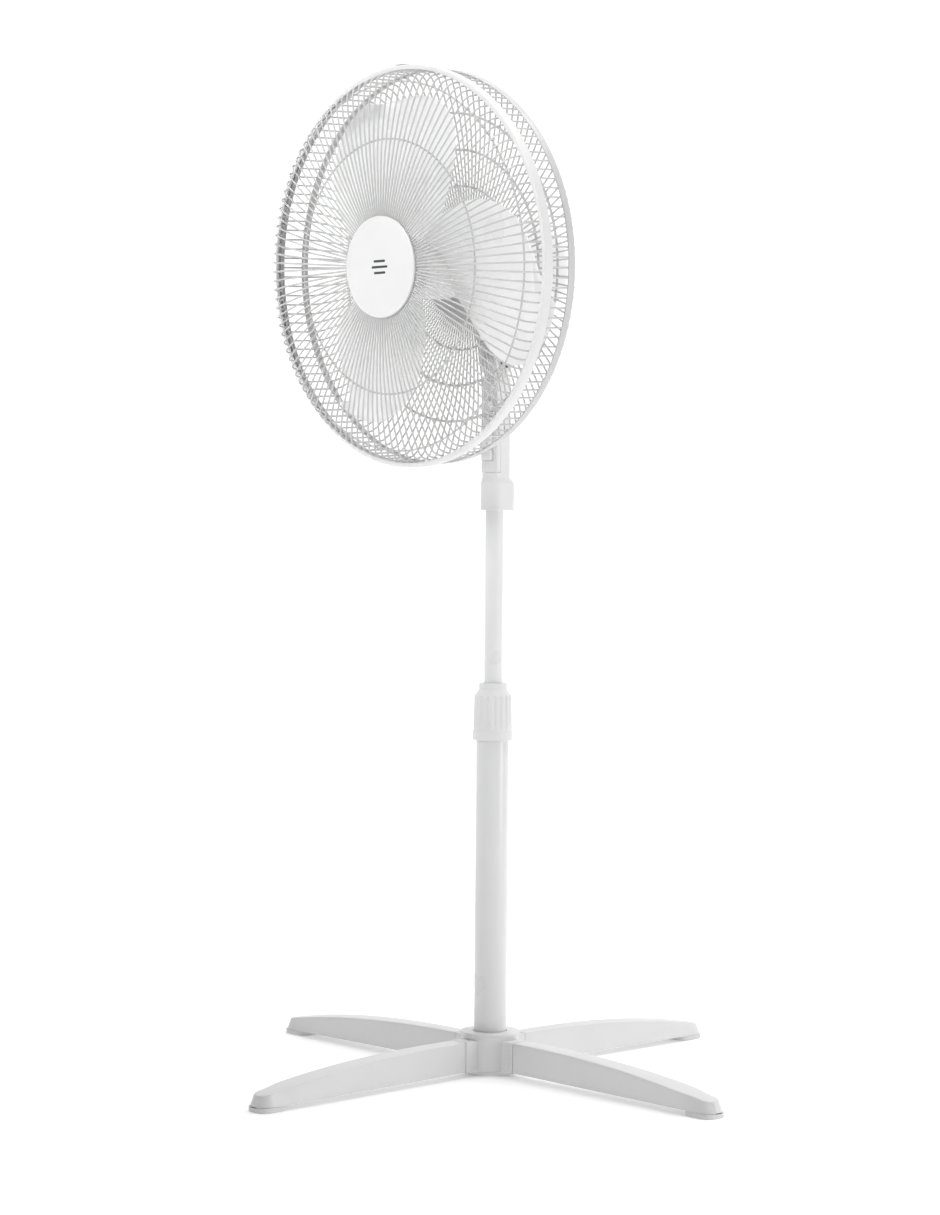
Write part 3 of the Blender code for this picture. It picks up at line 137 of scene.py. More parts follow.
TILT = Matrix.Translation((0.0, 0.0, TILT_HEIGHT)) @ Matrix.Rotation(REST_TILT, 4, "X")
SWING = TILT @ Matrix.Translation((0.0, 0.0, AXIS_RISE))
FAN = SWING @ Matrix.Rotation(math.pi / 2.0, 4, "X")
GUARD = FAN @ Matrix.Translation((0.0, 0.0, BAND_FRONT))
UPRIGHT = Matrix.Identity(4)


# ---- procedural looks ------------------------------------------------------------------
WEAR = 0.03                 # how much darker the patches are; scuffs are twice as much
COAT_ROUGHNESS = 0.18
PATCH_SCALE = 14.0
SCUFF_SCALE = 70.0
GRAIN_HEIGHT = 0.0002


def look(name, colour, rough, grain, bump, metal=0.0, coat=0.0, streak=(1.0, 1.0, 1.0)):
    """A surface with a fine grain, an uneven sheen and slight wear. streak stretches the grain."""
    made = bpy.data.materials.new(name)
    made.use_nodes = True
    nodes = made.node_tree.nodes
    links = made.node_tree.links
    shader = nodes["Principled BSDF"]
    shader.inputs["Metallic"].default_value = metal
    shader.inputs["Coat Weight"].default_value = coat
    shader.inputs["Coat Roughness"].default_value = COAT_ROUGHNESS
    place = nodes.new("ShaderNodeTexCoord")
    stretch = nodes.new("ShaderNodeMapping")
    stretch.inputs["Scale"].default_value = streak
    links.new(place.outputs["Object"], stretch.inputs["Vector"])

    def noise(scale, detail, roughness=0.55):
        node = nodes.new("ShaderNodeTexNoise")
        node.inputs["Scale"].default_value = scale
        node.inputs["Detail"].default_value = detail
        node.inputs["Roughness"].default_value = roughness
        links.new(stretch.outputs["Vector"], node.inputs["Vector"])
        return node

    def spread(source, low, high):
        node = nodes.new("ShaderNodeMapRange")
        node.inputs["From Min"].default_value = 0.3
        node.inputs["From Max"].default_value = 0.7
        node.inputs["To Min"].default_value = low
        node.inputs["To Max"].default_value = high
        links.new(source.outputs["Fac"], node.inputs["Value"])
        return node

    patches = noise(PATCH_SCALE, 3.0)
    fine = noise(grain, 2.0)
    tint = nodes.new("ShaderNodeValToRGB")
    tint.color_ramp.elements[0].position = 0.35
    tint.color_ramp.elements[1].position = 0.65
    tint.color_ramp.elements[0].color = (*[c * (1.0 - WEAR) for c in colour], 1.0)
    tint.color_ramp.elements[1].color = (*colour, 1.0)
    links.new(patches.outputs["Fac"], tint.inputs["Fac"])
    scuffs = noise(SCUFF_SCALE, 4.0, 0.7)
    worn = nodes.new("ShaderNodeMapRange")
    worn.inputs["From Min"].default_value = 0.66
    worn.inputs["From Max"].default_value = 0.80
    links.new(scuffs.outputs["Fac"], worn.inputs["Value"])
    scuffed = nodes.new("ShaderNodeMix")
    scuffed.data_type = "RGBA"
    scuffed.inputs["B"].default_value = (*[c * (1.0 - 2.0 * WEAR) for c in colour], 1.0)
    links.new(worn.outputs["Result"], scuffed.inputs["Factor"])
    links.new(tint.outputs["Color"], scuffed.inputs["A"])
    links.new(scuffed.outputs["Result"], shader.inputs["Base Color"])
    sheen = spread(patches, rough * 0.88, rough * 1.12)
    links.new(sheen.outputs["Result"], shader.inputs["Roughness"])
    relief = nodes.new("ShaderNodeBump")
    relief.inputs["Strength"].default_value = bump
    relief.inputs["Distance"].default_value = GRAIN_HEIGHT
    links.new(fine.outputs["Fac"], relief.inputs["Height"])
    links.new(relief.outputs["Normal"], shader.inputs["Normal"])
    return made


WHITE = (0.74, 0.74, 0.74)
LOOKS = {
    "white_plastic": look("white_plastic", WHITE, 0.40, 1400.0, 0.10),
    "white_paint": look("white_paint", (0.75, 0.75, 0.755), 0.30, 500.0, 0.05, coat=0.2),
    # guard_wire is the same white paint as white_paint, set darker (0.56 against 0.75): the extra darkness is
    # painted shade on the wires
    "guard_wire": look("guard_wire", (0.56, 0.56, 0.56), 0.34, 900.0, 0.05, coat=0.25),
    "foot_plastic": look("foot_plastic", (0.70, 0.70, 0.70), 0.65, 1100.0, 0.25),
    "steel": look("steel", (0.58, 0.58, 0.59), 0.34, 700.0, 0.08, metal=1.0),
    "dark_steel": look("dark_steel", (0.05, 0.05, 0.055), 0.42, 800.0, 0.10, metal=0.6),
    "black_plastic": look("black_plastic", (0.03, 0.03, 0.03), 0.50, 1300.0, 0.15),
    "nylon": look("nylon", (0.72, 0.71, 0.66), 0.48, 900.0, 0.08),
    "cast_metal": look("cast_metal", (0.46, 0.47, 0.48), 0.55, 260.0, 0.45, metal=0.85),
    "motor_grey": look("motor_grey", (0.16, 0.16, 0.17), 0.55, 420.0, 0.25, metal=0.2),
    "core_steel": look("core_steel", (0.30, 0.30, 0.31), 0.45, 300.0, 0.30, 0.9, streak=(1, 12, 1)),
    "copper": look("copper", (0.55, 0.26, 0.13), 0.38, 600.0, 0.35, metal=0.9, coat=0.4),
    "bronze": look("bronze", (0.55, 0.40, 0.20), 0.42, 500.0, 0.12, metal=1.0),
    # blade_plastic is the same white plastic as white_plastic, set brighter (0.94 against 0.74): the extra
    # brightness is painted light on the blades
    "blade_plastic": look("blade_plastic", (0.94, 0.94, 0.94), 0.30, 1500.0, 0.05, coat=0.15),
    "badge_plastic": look("badge_plastic", (0.73, 0.73, 0.73), 0.34, 1500.0, 0.05, coat=0.1),
}
MARK = look("mark_ink", (0.05, 0.05, 0.055), 0.45, 900.0, 0.08)


# ---- mesh helpers ------------------------------------------------------------------------
SLAB_STEPS = 3
WIRE_SIDES = 6
RING_SIDES = 8
RING_STEPS = 180
TUBE_EDGE = 0.0004


class Shape:
    """Gathers points and faces of one piece."""

    def __init__(self):
        self.points = []
        self.faces = []
        self.count = 0

    def add(self, points, faces):
        points = np.asarray(points, float).reshape(-1, 3)
        self.points.append(points)
        self.faces += [[i + self.count for i in face] for face in faces]
        self.count += len(points)
        return self

    def grid(self, rows, wrap_rows=False, wrap_columns=False, caps=False):
        """Rows of points joined to a surface; caps close the two end rows."""
        rows = np.asarray(rows, float)
        high, wide = rows.shape[:2]
        faces = []
        for i in range(high if wrap_rows else high - 1):
            k = (i + 1) % high
            for j in range(wide if wrap_columns else wide - 1):
                n = (j + 1) % wide
                faces.append((i * wide + j, i * wide + n, k * wide + n, k * wide + j))
        if caps:
            faces.append(tuple(range(wide)))
            faces.append(tuple((high - 1) * wide + j for j in reversed(range(wide))))
        return self.add(rows, faces)

    def turn(self, profile, steps=96, rule=None):
        """A closed outline of (radius, height) turned round z; rule may change each radius."""
        angles = TAU * np.arange(steps) / steps
        rows = []
        for radius, height in profile:
            reach = rule(radius, height, angles) if rule else np.full(steps, radius)
            level = np.full(steps, height)
            rows.append(np.stack([reach * np.cos(angles), reach * np.sin(angles), level], axis=1))
        return self.grid(rows, wrap_rows=True, wrap_columns=True)

    def slab(self, outline, low, high, edge):
        """An outline in XY drawn up from low to high with rounded rims."""
        outline = np.asarray(outline, float)
        rows = []
        for z, way in ((low, 1.0), (high, -1.0)):
            part = []
            for step in range(SLAB_STEPS + 1):
                angle = math.pi / 2.0 * step / SLAB_STEPS
                inset = edge * (1.0 - math.sin(angle))
                level = z + way * edge * (1.0 - math.cos(angle))
                part.append(np.column_stack([inward(outline, inset), np.full(len(outline), level)]))
            rows += part if way > 0.0 else part[::-1]
        return self.grid(rows, wrap_columns=True, caps=True)

    def wire(self, path, across, radius):
        """A round wire along a path that lies square to the direction across."""
        path = np.asarray(path, float)
        along = np.gradient(path, axis=0)
        along /= np.linalg.norm(along, axis=1)[:, None]
        other = np.cross(along, across)
        angles = TAU * np.arange(WIRE_SIDES) / WIRE_SIDES
        rows = path[:, None] + radius * (np.cos(angles)[None, :, None] * np.asarray(across)[None, None]
                                         + np.sin(angles)[None, :, None] * other[:, None])
        return self.grid(rows, wrap_columns=True, caps=True)

    def sheet(self, rows, thickness, wrap_columns=False, keep=None):
        """A thin shell about a surface: keep(row, column) leaves faces out, and their edges get walls."""
        rows = np.asarray(rows, float)
        high, wide = rows.shape[:2]
        thick = np.broadcast_to(np.asarray(thickness, float), rows.shape[:2])[..., None]
        down = np.gradient(rows, axis=0)
        if wrap_columns:
            side = (np.roll(rows, -1, axis=1) - np.roll(rows, 1, axis=1)) / 2.0
        else:
            side = np.gradient(rows, axis=1)
        normal = np.cross(side, down)
        normal /= np.maximum(np.linalg.norm(normal, axis=2), 1e-12)[..., None]
        both = np.concatenate([(rows + normal * thick / 2.0).reshape(-1, 3),
                               (rows - normal * thick / 2.0).reshape(-1, 3)])
        lower = high * wide
        faces = []
        edges = {}
        for i in range(high - 1):
            for j in range(wide if wrap_columns else wide - 1):
                if keep and not keep(i, j):
                    continue
                n = (j + 1) % wide
                face = (i * wide + j, i * wide + n, (i + 1) * wide + n, (i + 1) * wide + j)
                faces.append(face)
                faces.append(tuple(v + lower for v in reversed(face)))
                for a, b in zip(face, face[1:] + face[:1]):
                    if (b, a) in edges:
                        del edges[(b, a)]
                    else:
                        edges[(a, b)] = True
        faces += [(b, a, a + lower, b + lower) for a, b in edges]
        return self.add(both, faces)


def inward(outline, inset):
    """The outline moved inwards by inset, for outlines that run anticlockwise."""
    if inset == 0.0:
        return outline
    side = np.roll(outline, -1, axis=0) - np.roll(outline, 1, axis=0)
    normal = np.column_stack([-side[:, 1], side[:, 0]])
    normal /= np.linalg.norm(normal, axis=1)[:, None]
    return outline + normal * inset


def soft(outline, reach=0.0004, steps=3):
    """A closed outline with its corners rounded; a third number sets that corner's own reach."""
    made = []
    for index, corner in enumerate(outline):
        here = np.array(corner[:2], float)
        before = np.array(outline[index - 1][:2], float) - here
        after = np.array(outline[(index + 1) % len(outline)][:2], float) - here
        own = corner[2] if len(corner) > 2 else reach
        own = min(own, 0.45 * np.linalg.norm(before), 0.45 * np.linalg.norm(after))
        if own <= 0.0:
            made.append(here)
            continue
        first = here + before / np.linalg.norm(before) * own
        last = here + after / np.linalg.norm(after) * own
        for step in range(steps + 1):
            t = step / steps
            made.append(first * (1 - t) ** 2 + here * 2 * t * (1 - t) + last * t ** 2)
    return made


def box_outline(left, right, low, high, corner, steps=6):
    """A rounded rectangle, anticlockwise."""
    return soft([(left, low), (right, low), (right, high), (left, high)], corner, steps)


def circle(radius, steps=48, centre=(0.0, 0.0)):
    angles = TAU * np.arange(steps) / steps
    return np.column_stack([centre[0] + radius * np.cos(angles), centre[1] + radius * np.sin(angles)])


def tube_outline(radius, wall, low, high):
    return soft([(radius - wall, low), (radius, low), (radius, high), (radius - wall, high)], TUBE_EDGE)


def build(name, shape, slot, body, nodes=(), place=UPRIGHT, finish=None, angle=38.0):
    """Links a shape as one piece that rides on a body and stands for CAD nodes."""
    mesh = bpy.data.meshes.new(name)
    mesh.from_pydata(np.concatenate(shape.points).tolist(), [], shape.faces)
    work = bmesh.new()
    work.from_mesh(mesh)
    bmesh.ops.remove_doubles(work, verts=work.verts, dist=2e-6)
    bmesh.ops.dissolve_degenerate(work, edges=work.edges, dist=1e-7)
    bmesh.ops.recalc_face_normals(work, faces=work.faces)
    work.to_mesh(mesh)
    work.free()
    mesh.transform(place)
    mesh.shade_smooth()
    mesh.set_sharp_from_angle(angle=math.radians(angle))
    mesh.materials.append(finish or LOOKS[slot])
    made = bpy.data.objects.new(name, mesh)
    bpy.context.scene.collection.objects.link(made)
    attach(made, body)
    if nodes:
        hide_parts(*nodes)
    return made


def carve(made, cutters):
    """Cuts shapes out of a piece and drops the cutters."""
    for cutter in cutters:
        mesh = bpy.data.meshes.new("cutter")
        mesh.from_pydata(np.concatenate(cutter.points).tolist(), [], cutter.faces)
        work = bmesh.new()
        work.from_mesh(mesh)
        bmesh.ops.recalc_face_normals(work, faces=work.faces)
        work.to_mesh(mesh)
        work.free()
        tool = bpy.data.objects.new("cutter", mesh)
        bpy.context.scene.collection.objects.link(tool)
        modifier = made.modifiers.new("cut", "BOOLEAN")
        modifier.object = tool
        modifier.solver = "EXACT"
        bpy.context.view_layer.update()
        cut = made.evaluated_get(bpy.context.evaluated_depsgraph_get())
        result = bpy.data.meshes.new_from_object(cut)
        made.modifiers.clear()
        made.data = result
        bpy.data.objects.remove(tool, do_unlink=True)


def radial(path, count, phase, radius, shape):
    """The same wire, given as (radius, height) points, all round the axis, phase steps on."""
    path = np.asarray(path, float)
    for number in range(count):
        angle = TAU * (number + phase) / count
        out = np.array([math.cos(angle), math.sin(angle), 0.0])
        across = np.array([-math.sin(angle), math.cos(angle), 0.0])
        points = path[:, :1] * out[None] + path[:, 1:] * np.array([0.0, 0.0, 1.0])[None]
        shape.wire(points, across, radius)
    return shape


def ring(shape, radius, height, thick):
    """A round wire bent to a circle about the axis."""
    outline = [(radius + thick * math.cos(a), height + thick * math.sin(a))
               for a in (TAU * (i + 0.5) / RING_SIDES for i in range(RING_SIDES))]
    return shape.turn(outline, RING_STEPS)


# ---- guard ---------------------------------------------------------------------------------
def front_profile():
    """One front wire from under the badge over the dome and round to the rim."""
    ring_reach, _ = FRONT_RINGS[0]
    edge_reach, _ = FRONT_RINGS[1]
    dome = [(r, DOME_TOP - DOME_DROP * (r / ring_reach) ** DOME_POWER)
            for r in np.linspace(WIRE_START, edge_reach, 14)]
    return dome + [(0.2010, 0.0130), (0.2050, 0.0103), (0.2074, 0.0066), (0.2086, 0.0020),
                   (0.2093, -0.0024), (0.2104, -0.0042), (0.2118, -0.0048)]


def rear_profile():
    """One rear wire from the rim back along the drum and in to the centre disc."""
    return [(0.2108, -0.0072), (0.2108, -0.0200), (0.2108, -0.0360), (0.2104, -0.0440), (0.2090, -0.0492),
            (0.2040, -0.0545), (0.1880, -0.0612), (0.1670, -0.0685), (0.1480, -0.0742), (0.1280, -0.0790),
            (0.1000, -0.0840), (0.0780, -0.0866), (0.0600, -0.0880), (0.0480, -0.0884)]


def make_wires():
    front = radial(front_profile(), WIRE_COUNT, 0.5, WIRE, Shape())
    for radius, height in FRONT_RINGS:
        ring(front, radius, height - 2.0 * WIRE, WIRE * 1.05)
    ring(front, HOOP_RADIUS, -0.0062, HOOP_WIRE)
    build("front_wires", front, "guard_wire", "head", ["front_guard"], GUARD)

    rear = radial(rear_profile(), WIRE_COUNT, 0.0, WIRE, Shape())
    ring(rear, HOOP_RADIUS, -0.0092, HOOP_WIRE)
    for radius, height, thick in REAR_RINGS:
        ring(rear, radius, height, thick)
    flat_hoop = soft([(0.2113, -0.0460), (0.2127, -0.0460), (0.2127, -0.0370), (0.2113, -0.0370)], 0.0004)
    rear.turn(flat_hoop, 240)
    centre_disc = soft([(0.0172, -0.0896), (0.0500, -0.0896), (0.0585, -0.0884), (0.0585, -0.0868),
                        (0.0490, -0.0878), (0.0172, -0.0878)], 0.0005)
    rear.turn(centre_disc, 120)
    build("rear_wires", rear, "guard_wire", "head", ["rear_guard"], GUARD)


def make_trim():
    clear = GUARD_RADIUS - 0.0013
    band = soft([(clear, -0.0110), (GUARD_RADIUS, -0.0110), (GUARD_RADIUS, 0.0, 0.0012),
                 (0.2100, 0.0, 0.0005), (0.2100, -0.0013), (clear, -0.0013)], 0.0004)
    build("trim_ring", Shape().turn(band, 300), "white_plastic", "head", ["trim_band"], GUARD)
    clip = Shape().slab(box_outline(-0.0060, 0.0060, -0.0110, -0.0002, 0.0012), 0.0, 0.00135, 0.0005)
    clip.slab(circle(0.0016, 24, (0.0, -0.0056)), 0.0012, 0.00150, 0.0002)
    on_top = Matrix.Translation((0.0, GUARD_RADIUS + GAP, 0.0)) @ Matrix.Rotation(-math.pi / 2.0, 4, "X")
    build("trim_clip", clip, "white_plastic", "head", ["guard_clip"],
          GUARD @ on_top @ Matrix.Scale(-1.0, 4, (0.0, 1.0, 0.0)))


def make_badge():
    """A dished disc with three plain bars in the middle."""
    low = BADGE_FACE - BADGE_THICK
    dish = soft([(0.0, low), (BADGE_RADIUS, low, 0.0003), (BADGE_RADIUS, BADGE_FACE - 0.0006, 0.0010),
                 (BADGE_RADIUS - 0.0022, BADGE_FACE, 0.0010),
                 (BADGE_RADIUS - 0.0040, BADGE_FACE - 0.0002, 0.0010),
                 (BADGE_RADIUS - 0.0060, BADGE_FACE - 0.0006, 0.0020), (0.0, BADGE_FACE - 0.0001)], 0.0, 4)
    build("badge_disc", Shape().turn(dish, 128), "badge_plastic", "head", ["badge"], GUARD)
    mark = Shape()
    for number in range(-1, 2):
        half = 0.0125 - 0.0035 * abs(number)
        bar = box_outline(-half, half, -0.0013, 0.0013, 0.0012)
        mark.slab(bar, BADGE_FACE - 0.00055, BADGE_FACE - 0.0001, 0.0001)
        mark.points[-1][:, 1] += 0.0062 * number
    build("badge_mark", mark, "badge_plastic", "head", [], GUARD, MARK)


def make_ring_nut():
    nut = soft([(0.0162, -0.0872), (0.0260, -0.0872), (0.0260, -0.0802), (0.0162, -0.0802)], 0.0008)
    build("ring_nut", Shape().turn(nut, 96, ribs(12, 0.0009, 0.0250)), "white_plastic", "head",
          ["guard_nut"], GUARD)


def ribs(count, depth, above):
    """A radius rule for turn: scallops round the parts that lie outside a radius."""
    def rule(radius, height, angles):
        if radius < above:
            return np.full(len(angles), radius)
        return radius - depth * (0.5 - 0.5 * np.cos(count * angles)) ** 1.5
    return rule


# ---- blade ---------------------------------------------------------------------------------
# Edges of one petal, as (radius, degrees round the axis).
TRAILING = [(0.033, 56.0), (0.060, 50.0), (0.080, 44.5), (0.104, 37.8), (0.125, 32.0), (0.140, 27.0),
            (0.156, 21.0), (0.170, 14.5), (0.180, 7.0), (0.1865, -1.0), (0.1893, -7.5), (0.1899, -11.0)]
LEADING = [(0.033, -42.0), (0.060, -45.0), (0.090, -47.2), (0.120, -47.8), (0.145, -45.6),
           (0.160, -43.0), (0.172, -39.0), (0.180, -34.5), (0.1865, -27.0), (0.1893, -19.5), (0.1899, -14.0)]


def petal():
    """Points of one petal's middle surface, row by row outwards, and the thickness at each."""
    rows = []
    thick = []
    outer = 0.86 + 0.14 * np.sin(np.linspace(0.1, math.pi / 2, 12))
    shares = np.concatenate([np.linspace(0.0, 0.86, 22), outer])
    across = 0.5 - 0.5 * np.cos(np.linspace(0.0, math.pi, 27))
    for share in shares:
        radius = BLADE_ROOT + (BLADE_TIP - BLADE_ROOT) * share
        trail = np.interp(radius, *zip(*TRAILING))
        lead = np.interp(radius, *zip(*LEADING))
        angle = np.radians(lead + (trail - lead) * across)
        camber = BLADE_CAMBER + 0.0020 * math.sin(math.pi * share)
        depth = BLADE_BACK + BLADE_DEPTH * across - camber * np.sin(math.pi * across)
        rows.append(np.stack([radius * np.cos(angle), radius * np.sin(angle), depth], axis=1))
        rim = np.minimum(1.0, np.minimum(across, 1.0 - across) * 22.0 + 0.35)
        thick.append(BLADE_THICK * rim * (1.0 if share < 0.985 else 0.5))
    return np.array(rows), np.array(thick)


def make_blade():
    rows, thick = petal()
    wheel = Shape()
    for number in range(BLADE_COUNT):
        turn = np.array(Matrix.Rotation(TAU * number / BLADE_COUNT, 3, "Z"))
        wheel.sheet(rows @ turn.T, thick)
    front = BLADE_HUB_FRONT
    inner = BLADE_HUB_RADIUS - BLADE_HUB_WALL
    hub = soft([(0.0046, -0.0500), (0.0085, -0.0500), (0.0085, front - 0.0030),
                (inner, front - 0.0030, 0.0020), (inner, -0.0620), (BLADE_HUB_RADIUS, -0.0620),
                (BLADE_HUB_RADIUS, front, 0.0030), (0.0046, front)])
    wheel.turn(hub, 96)
    build("blade_wheel", wheel, "blade_plastic", "rotor", ["fan_blade"], GUARD, angle=50.0)
    cap = soft([(0.0, front + 0.0150), (0.0088, front + 0.0140, 0.002), (0.0147, front + 0.0100, 0.002),
                (0.0160, front + 0.0045, 0.001), (0.0160, front + 0.0003), (0.0, front + 0.0003)], 0.0003)
    build("spinner_cap", Shape().turn(cap, 60, ribs(10, 0.0009, 0.0146)), "white_plastic", "rotor",
          ["spinner_nut"], GUARD)


# ---- motor ---------------------------------------------------------------------------------
def make_motor_face():
    """The front plate with its bush housing and four screw pads."""
    plate = soft([(0.0432, 0.0225), (0.0560, 0.0225), (0.0560, 0.0262, 0.0012), (0.0464, 0.0275, 0.0016),
                  (0.0430, 0.0435, 0.0030), (0.0240, 0.0435, 0.0006), (0.0235, 0.0427, 0.0004),
                  (0.0158, 0.0427), (0.0158, 0.0580), (0.0084, 0.0580), (0.0084, 0.0395),
                  (0.0432, 0.0395)], 0.0005)
    made = Shape().turn(plate, 96)
    pads = 4
    for number in range(pads):
        angle = TAU * (number + 0.5) / pads
        centre = (0.0512 * math.cos(angle), 0.0512 * math.sin(angle))
        made.slab(circle(0.0030, 24, centre), 0.0262, 0.0282, 0.0006)
    build("motor_face", made, "motor_grey", "head", ["motor_front_plate"], FAN)


def make_motor_shell():
    """The rear cover: a ring of vent slots, and holes for the swing boss, the crank and the knob."""
    straight = [(SHELL_RADIUS, z) for z in np.linspace(SHELL_FRONT, SHELL_BEND, 11)[:-1]]
    round_part = SHELL_RADIUS - SHELL_FLAT
    drop = SHELL_END - SHELL_BEND
    back = [(SHELL_FLAT + round_part * math.cos(a), SHELL_BEND + drop * math.sin(a))
            for a in np.linspace(0.0, math.pi / 2, 22)]
    flat = [(r, SHELL_END) for r in np.linspace(SHELL_FLAT, 0.0030, 8)[1:]]
    profile = np.array(straight + back + flat)
    angles = TAU * np.arange(SHELL_STEPS) / SHELL_STEPS
    rows = np.stack([profile[:, :1] * np.cos(angles), profile[:, :1] * np.sin(angles),
                     np.repeat(profile[:, 1:], SHELL_STEPS, axis=1)], axis=2)
    vents = range(len(straight) + 12, len(straight) + 18)

    def keep(row, column):
        return not (column % 4 in (1, 2) and row in vents)

    shell = Shape().sheet(rows, SHELL_THICK, wrap_columns=True, keep=keep)
    cover = build("motor_shell", shell, "white_plastic", "head", ["motor_cover"], FAN)
    below = (-0.080, -0.035)
    above = (0.035, 0.080)
    cutters = []
    for x, y, radius, span in ((0.0, 0.0, 0.0112, below), (GEAR.x, GEAR.y, 0.0050, below),
                               (GEAR.x, GEAR.y, 0.0038, above)):
        tool = Shape().slab(circle(radius, 48), *span, 0.0001)
        local = np.concatenate(tool.points)
        moved = np.array(SWING @ Matrix.Translation((x, y, 0.0)))
        tool.points = [local @ moved[:3, :3].T + moved[:3, 3]]
        cutters.append(tool)
    carve(cover, cutters)


def make_knob():
    knob = soft([(0.0, 0.0045), (0.0030, 0.0045), (0.0030, 0.0575), (0.0070, 0.0575), (0.0074, 0.0670, 0.001),
                 (0.0080, 0.0690, 0.0006), (0.0076, 0.0710, 0.0010), (0.0, 0.0708)], 0.0003)
    build("pull_knob", Shape().turn(knob, 72, ribs(12, 0.0005, 0.0069)), "white_plastic", "knob",
          ["swing_knob"], SWING @ Matrix.Translation(GEAR))


# ---- poles and collar ------------------------------------------------------------------------
def make_poles():
    build("wide_pole", Shape().turn(tube_outline(*WIDE_POLE), 96), "white_paint", "base", ["lower_pole"])
    build("thin_pole", Shape().turn(tube_outline(*THIN_POLE), 72), "white_paint", "mast", ["upper_pole"])


def flutes(radius, height, angles):
    """A radius rule for turn: the collar's grip flutes, which fade out at both ends."""
    span = (height - (COLLAR_BOTTOM + 0.0108)) * (COLLAR_TOP - 0.0136 - height)
    if span <= 0.0 or radius < 0.0190:
        return np.full(len(angles), radius)
    fade = min(1.0, span / 5e-5)
    return radius - FLUTE_DEPTH * fade * (0.5 + 0.5 * np.cos(FLUTE_COUNT * angles)) ** 2.2


def make_collar():
    low = COLLAR_BOTTOM
    high = COLLAR_TOP
    band = [(0.0183, low), (COLLAR_RADIUS, low, 0.0008), (COLLAR_RADIUS, low + 0.0093, 0.0008),
            (COLLAR_BODY_RADIUS, low + 0.0105, 0.0004)]
    body = [(COLLAR_BODY_RADIUS - 0.0008 * share, low + 0.0110 + 0.0372 * share)
            for share in np.linspace(0, 1, 7)[1:]]
    cap = [(0.0199, high - 0.0128, 0.0012), (COLLAR_CAP_RADIUS, high - 0.0075, 0.0010),
           (COLLAR_CAP_RADIUS, high, 0.0010), (0.0104, high, 0.0004), (0.0104, high - 0.0068)]
    bore = [(0.0153, high - 0.0068), (0.0153, 0.3846), (0.0183, 0.3846)]
    outline = soft(band + body + cap + bore, 0.0003)
    build("grip_collar", Shape().turn(outline, 288, flutes), "white_plastic", "collar", ["height_collar"])


# ---- base --------------------------------------------------------------------------------------
SIDES = ("right", "back", "left", "front")


ARM_LOWER_EDGE = 0.0012
LEG_EDGE = 0.0016


def arm_outline(half, low, high, corner):
    """Cross-section of a socket arm or a leg's tongue in (y, z), anticlockwise."""
    lower = ARM_LOWER_EDGE
    return soft([(-half, low, lower), (half, low, lower), (half, high, corner), (-half, high, corner)],
                0.0, 6)


def leg_section(past, half, low, high, lean):
    """Cross-section of a leg in (y, z): walls lean inwards by lean at the top, and a section that
    lies past the centre of the foot's round end is cut off where those walls meet."""
    tall = high - low

    def width(share):
        return math.sqrt(max(2.5e-7, (half - lean * share) ** 2 - past ** 2))

    most = min(1.0, (half - past) / lean) if lean > 0.0 else 1.0
    top = most - LEG_EDGE / tall
    right = [(width(0.0) - 0.0003, low)]
    right += [(width(top * share), low + max(0.0003, tall * top * share))
              for share in (0.0, 0.2, 0.4, 0.6, 0.8, 1.0)]
    bend = min(LEG_EDGE, width(top) * 0.6)
    right += [(width(top) - bend * (1.0 - math.cos(a)), low + tall * top + LEG_EDGE * math.sin(a))
              for a in np.radians((20, 40, 60, 75, 90))]
    return right + [(-y, z) for y, z in reversed(right)]


def make_hub():
    hub = Shape()
    boss = soft([(0.0, HUB_BOTTOM), (HUB_RADIUS, HUB_BOTTOM, 0.0010), (HUB_RADIUS, 0.0430, 0.0004),
                 (HUB_RIM_RADIUS, 0.0432, 0.0003), (HUB_RIM_RADIUS, HUB_TOP, 0.0016),
                 (0.0188, HUB_TOP, 0.0010), (0.0183, 0.0140), (0.0, 0.0140)], 0.0)
    hub.turn(boss, 120)
    thin = -SOCKET_NECKING
    for quarter in range(len(SIDES)):
        turn = np.array(Matrix.Rotation(quarter * math.pi / 2.0, 3, "Z"))
        rows = []
        for x, grow in ((0.0200, thin), (0.0434, thin), (0.0436, -0.0001), (0.0440, 0.0), (0.0471, 0.0),
                        (SOCKET_REACH, -0.0005)):
            section = arm_outline(SOCKET_HALF_WIDTH + grow, HUB_BOTTOM, SOCKET_TOP + grow, 0.0018)
            rows.append([(x, y, z) for y, z in section])
        hub.grid(np.array(rows) @ turn.T, wrap_columns=True, caps=True)
    build("hub_shell", hub, "white_plastic", "base", ["base_hub"])


def leg_rows():
    """Cross-sections of the leg along +X, from the hub to the foot's round end."""
    start = SOCKET_REACH + GAP
    centre = LEG_REACH - FOOT_WIDTH / 2.0
    rounds = centre + (FOOT_WIDTH / 2.0) * np.sin(np.radians(np.linspace(4, 81, 18)))
    rows = []
    for reach in np.concatenate([np.linspace(start, centre, 34), rounds]):
        share = (reach - start) / (LEG_REACH - start)
        half = (LEG_WIDTH + (FOOT_WIDTH - LEG_WIDTH) * min(1.0, share * 1.1)) / 2.0
        lean = min(1.0, max(0.0, (reach - centre + FOOT_LEAN_START) / FOOT_LEAN_LENGTH))
        lean = FOOT_SLOPE * lean * lean * (3.0 - 2.0 * lean)
        low = 0.0060 - 0.0004 * share
        high = LEG_ROOT_TOP - LEG_ARCH_DROP * share ** LEG_ARCH
        section = leg_section(max(0.0, reach - centre), half, low, high, lean)
        rows.append([(reach, y, z) for y, z in section])
    return np.array(rows)


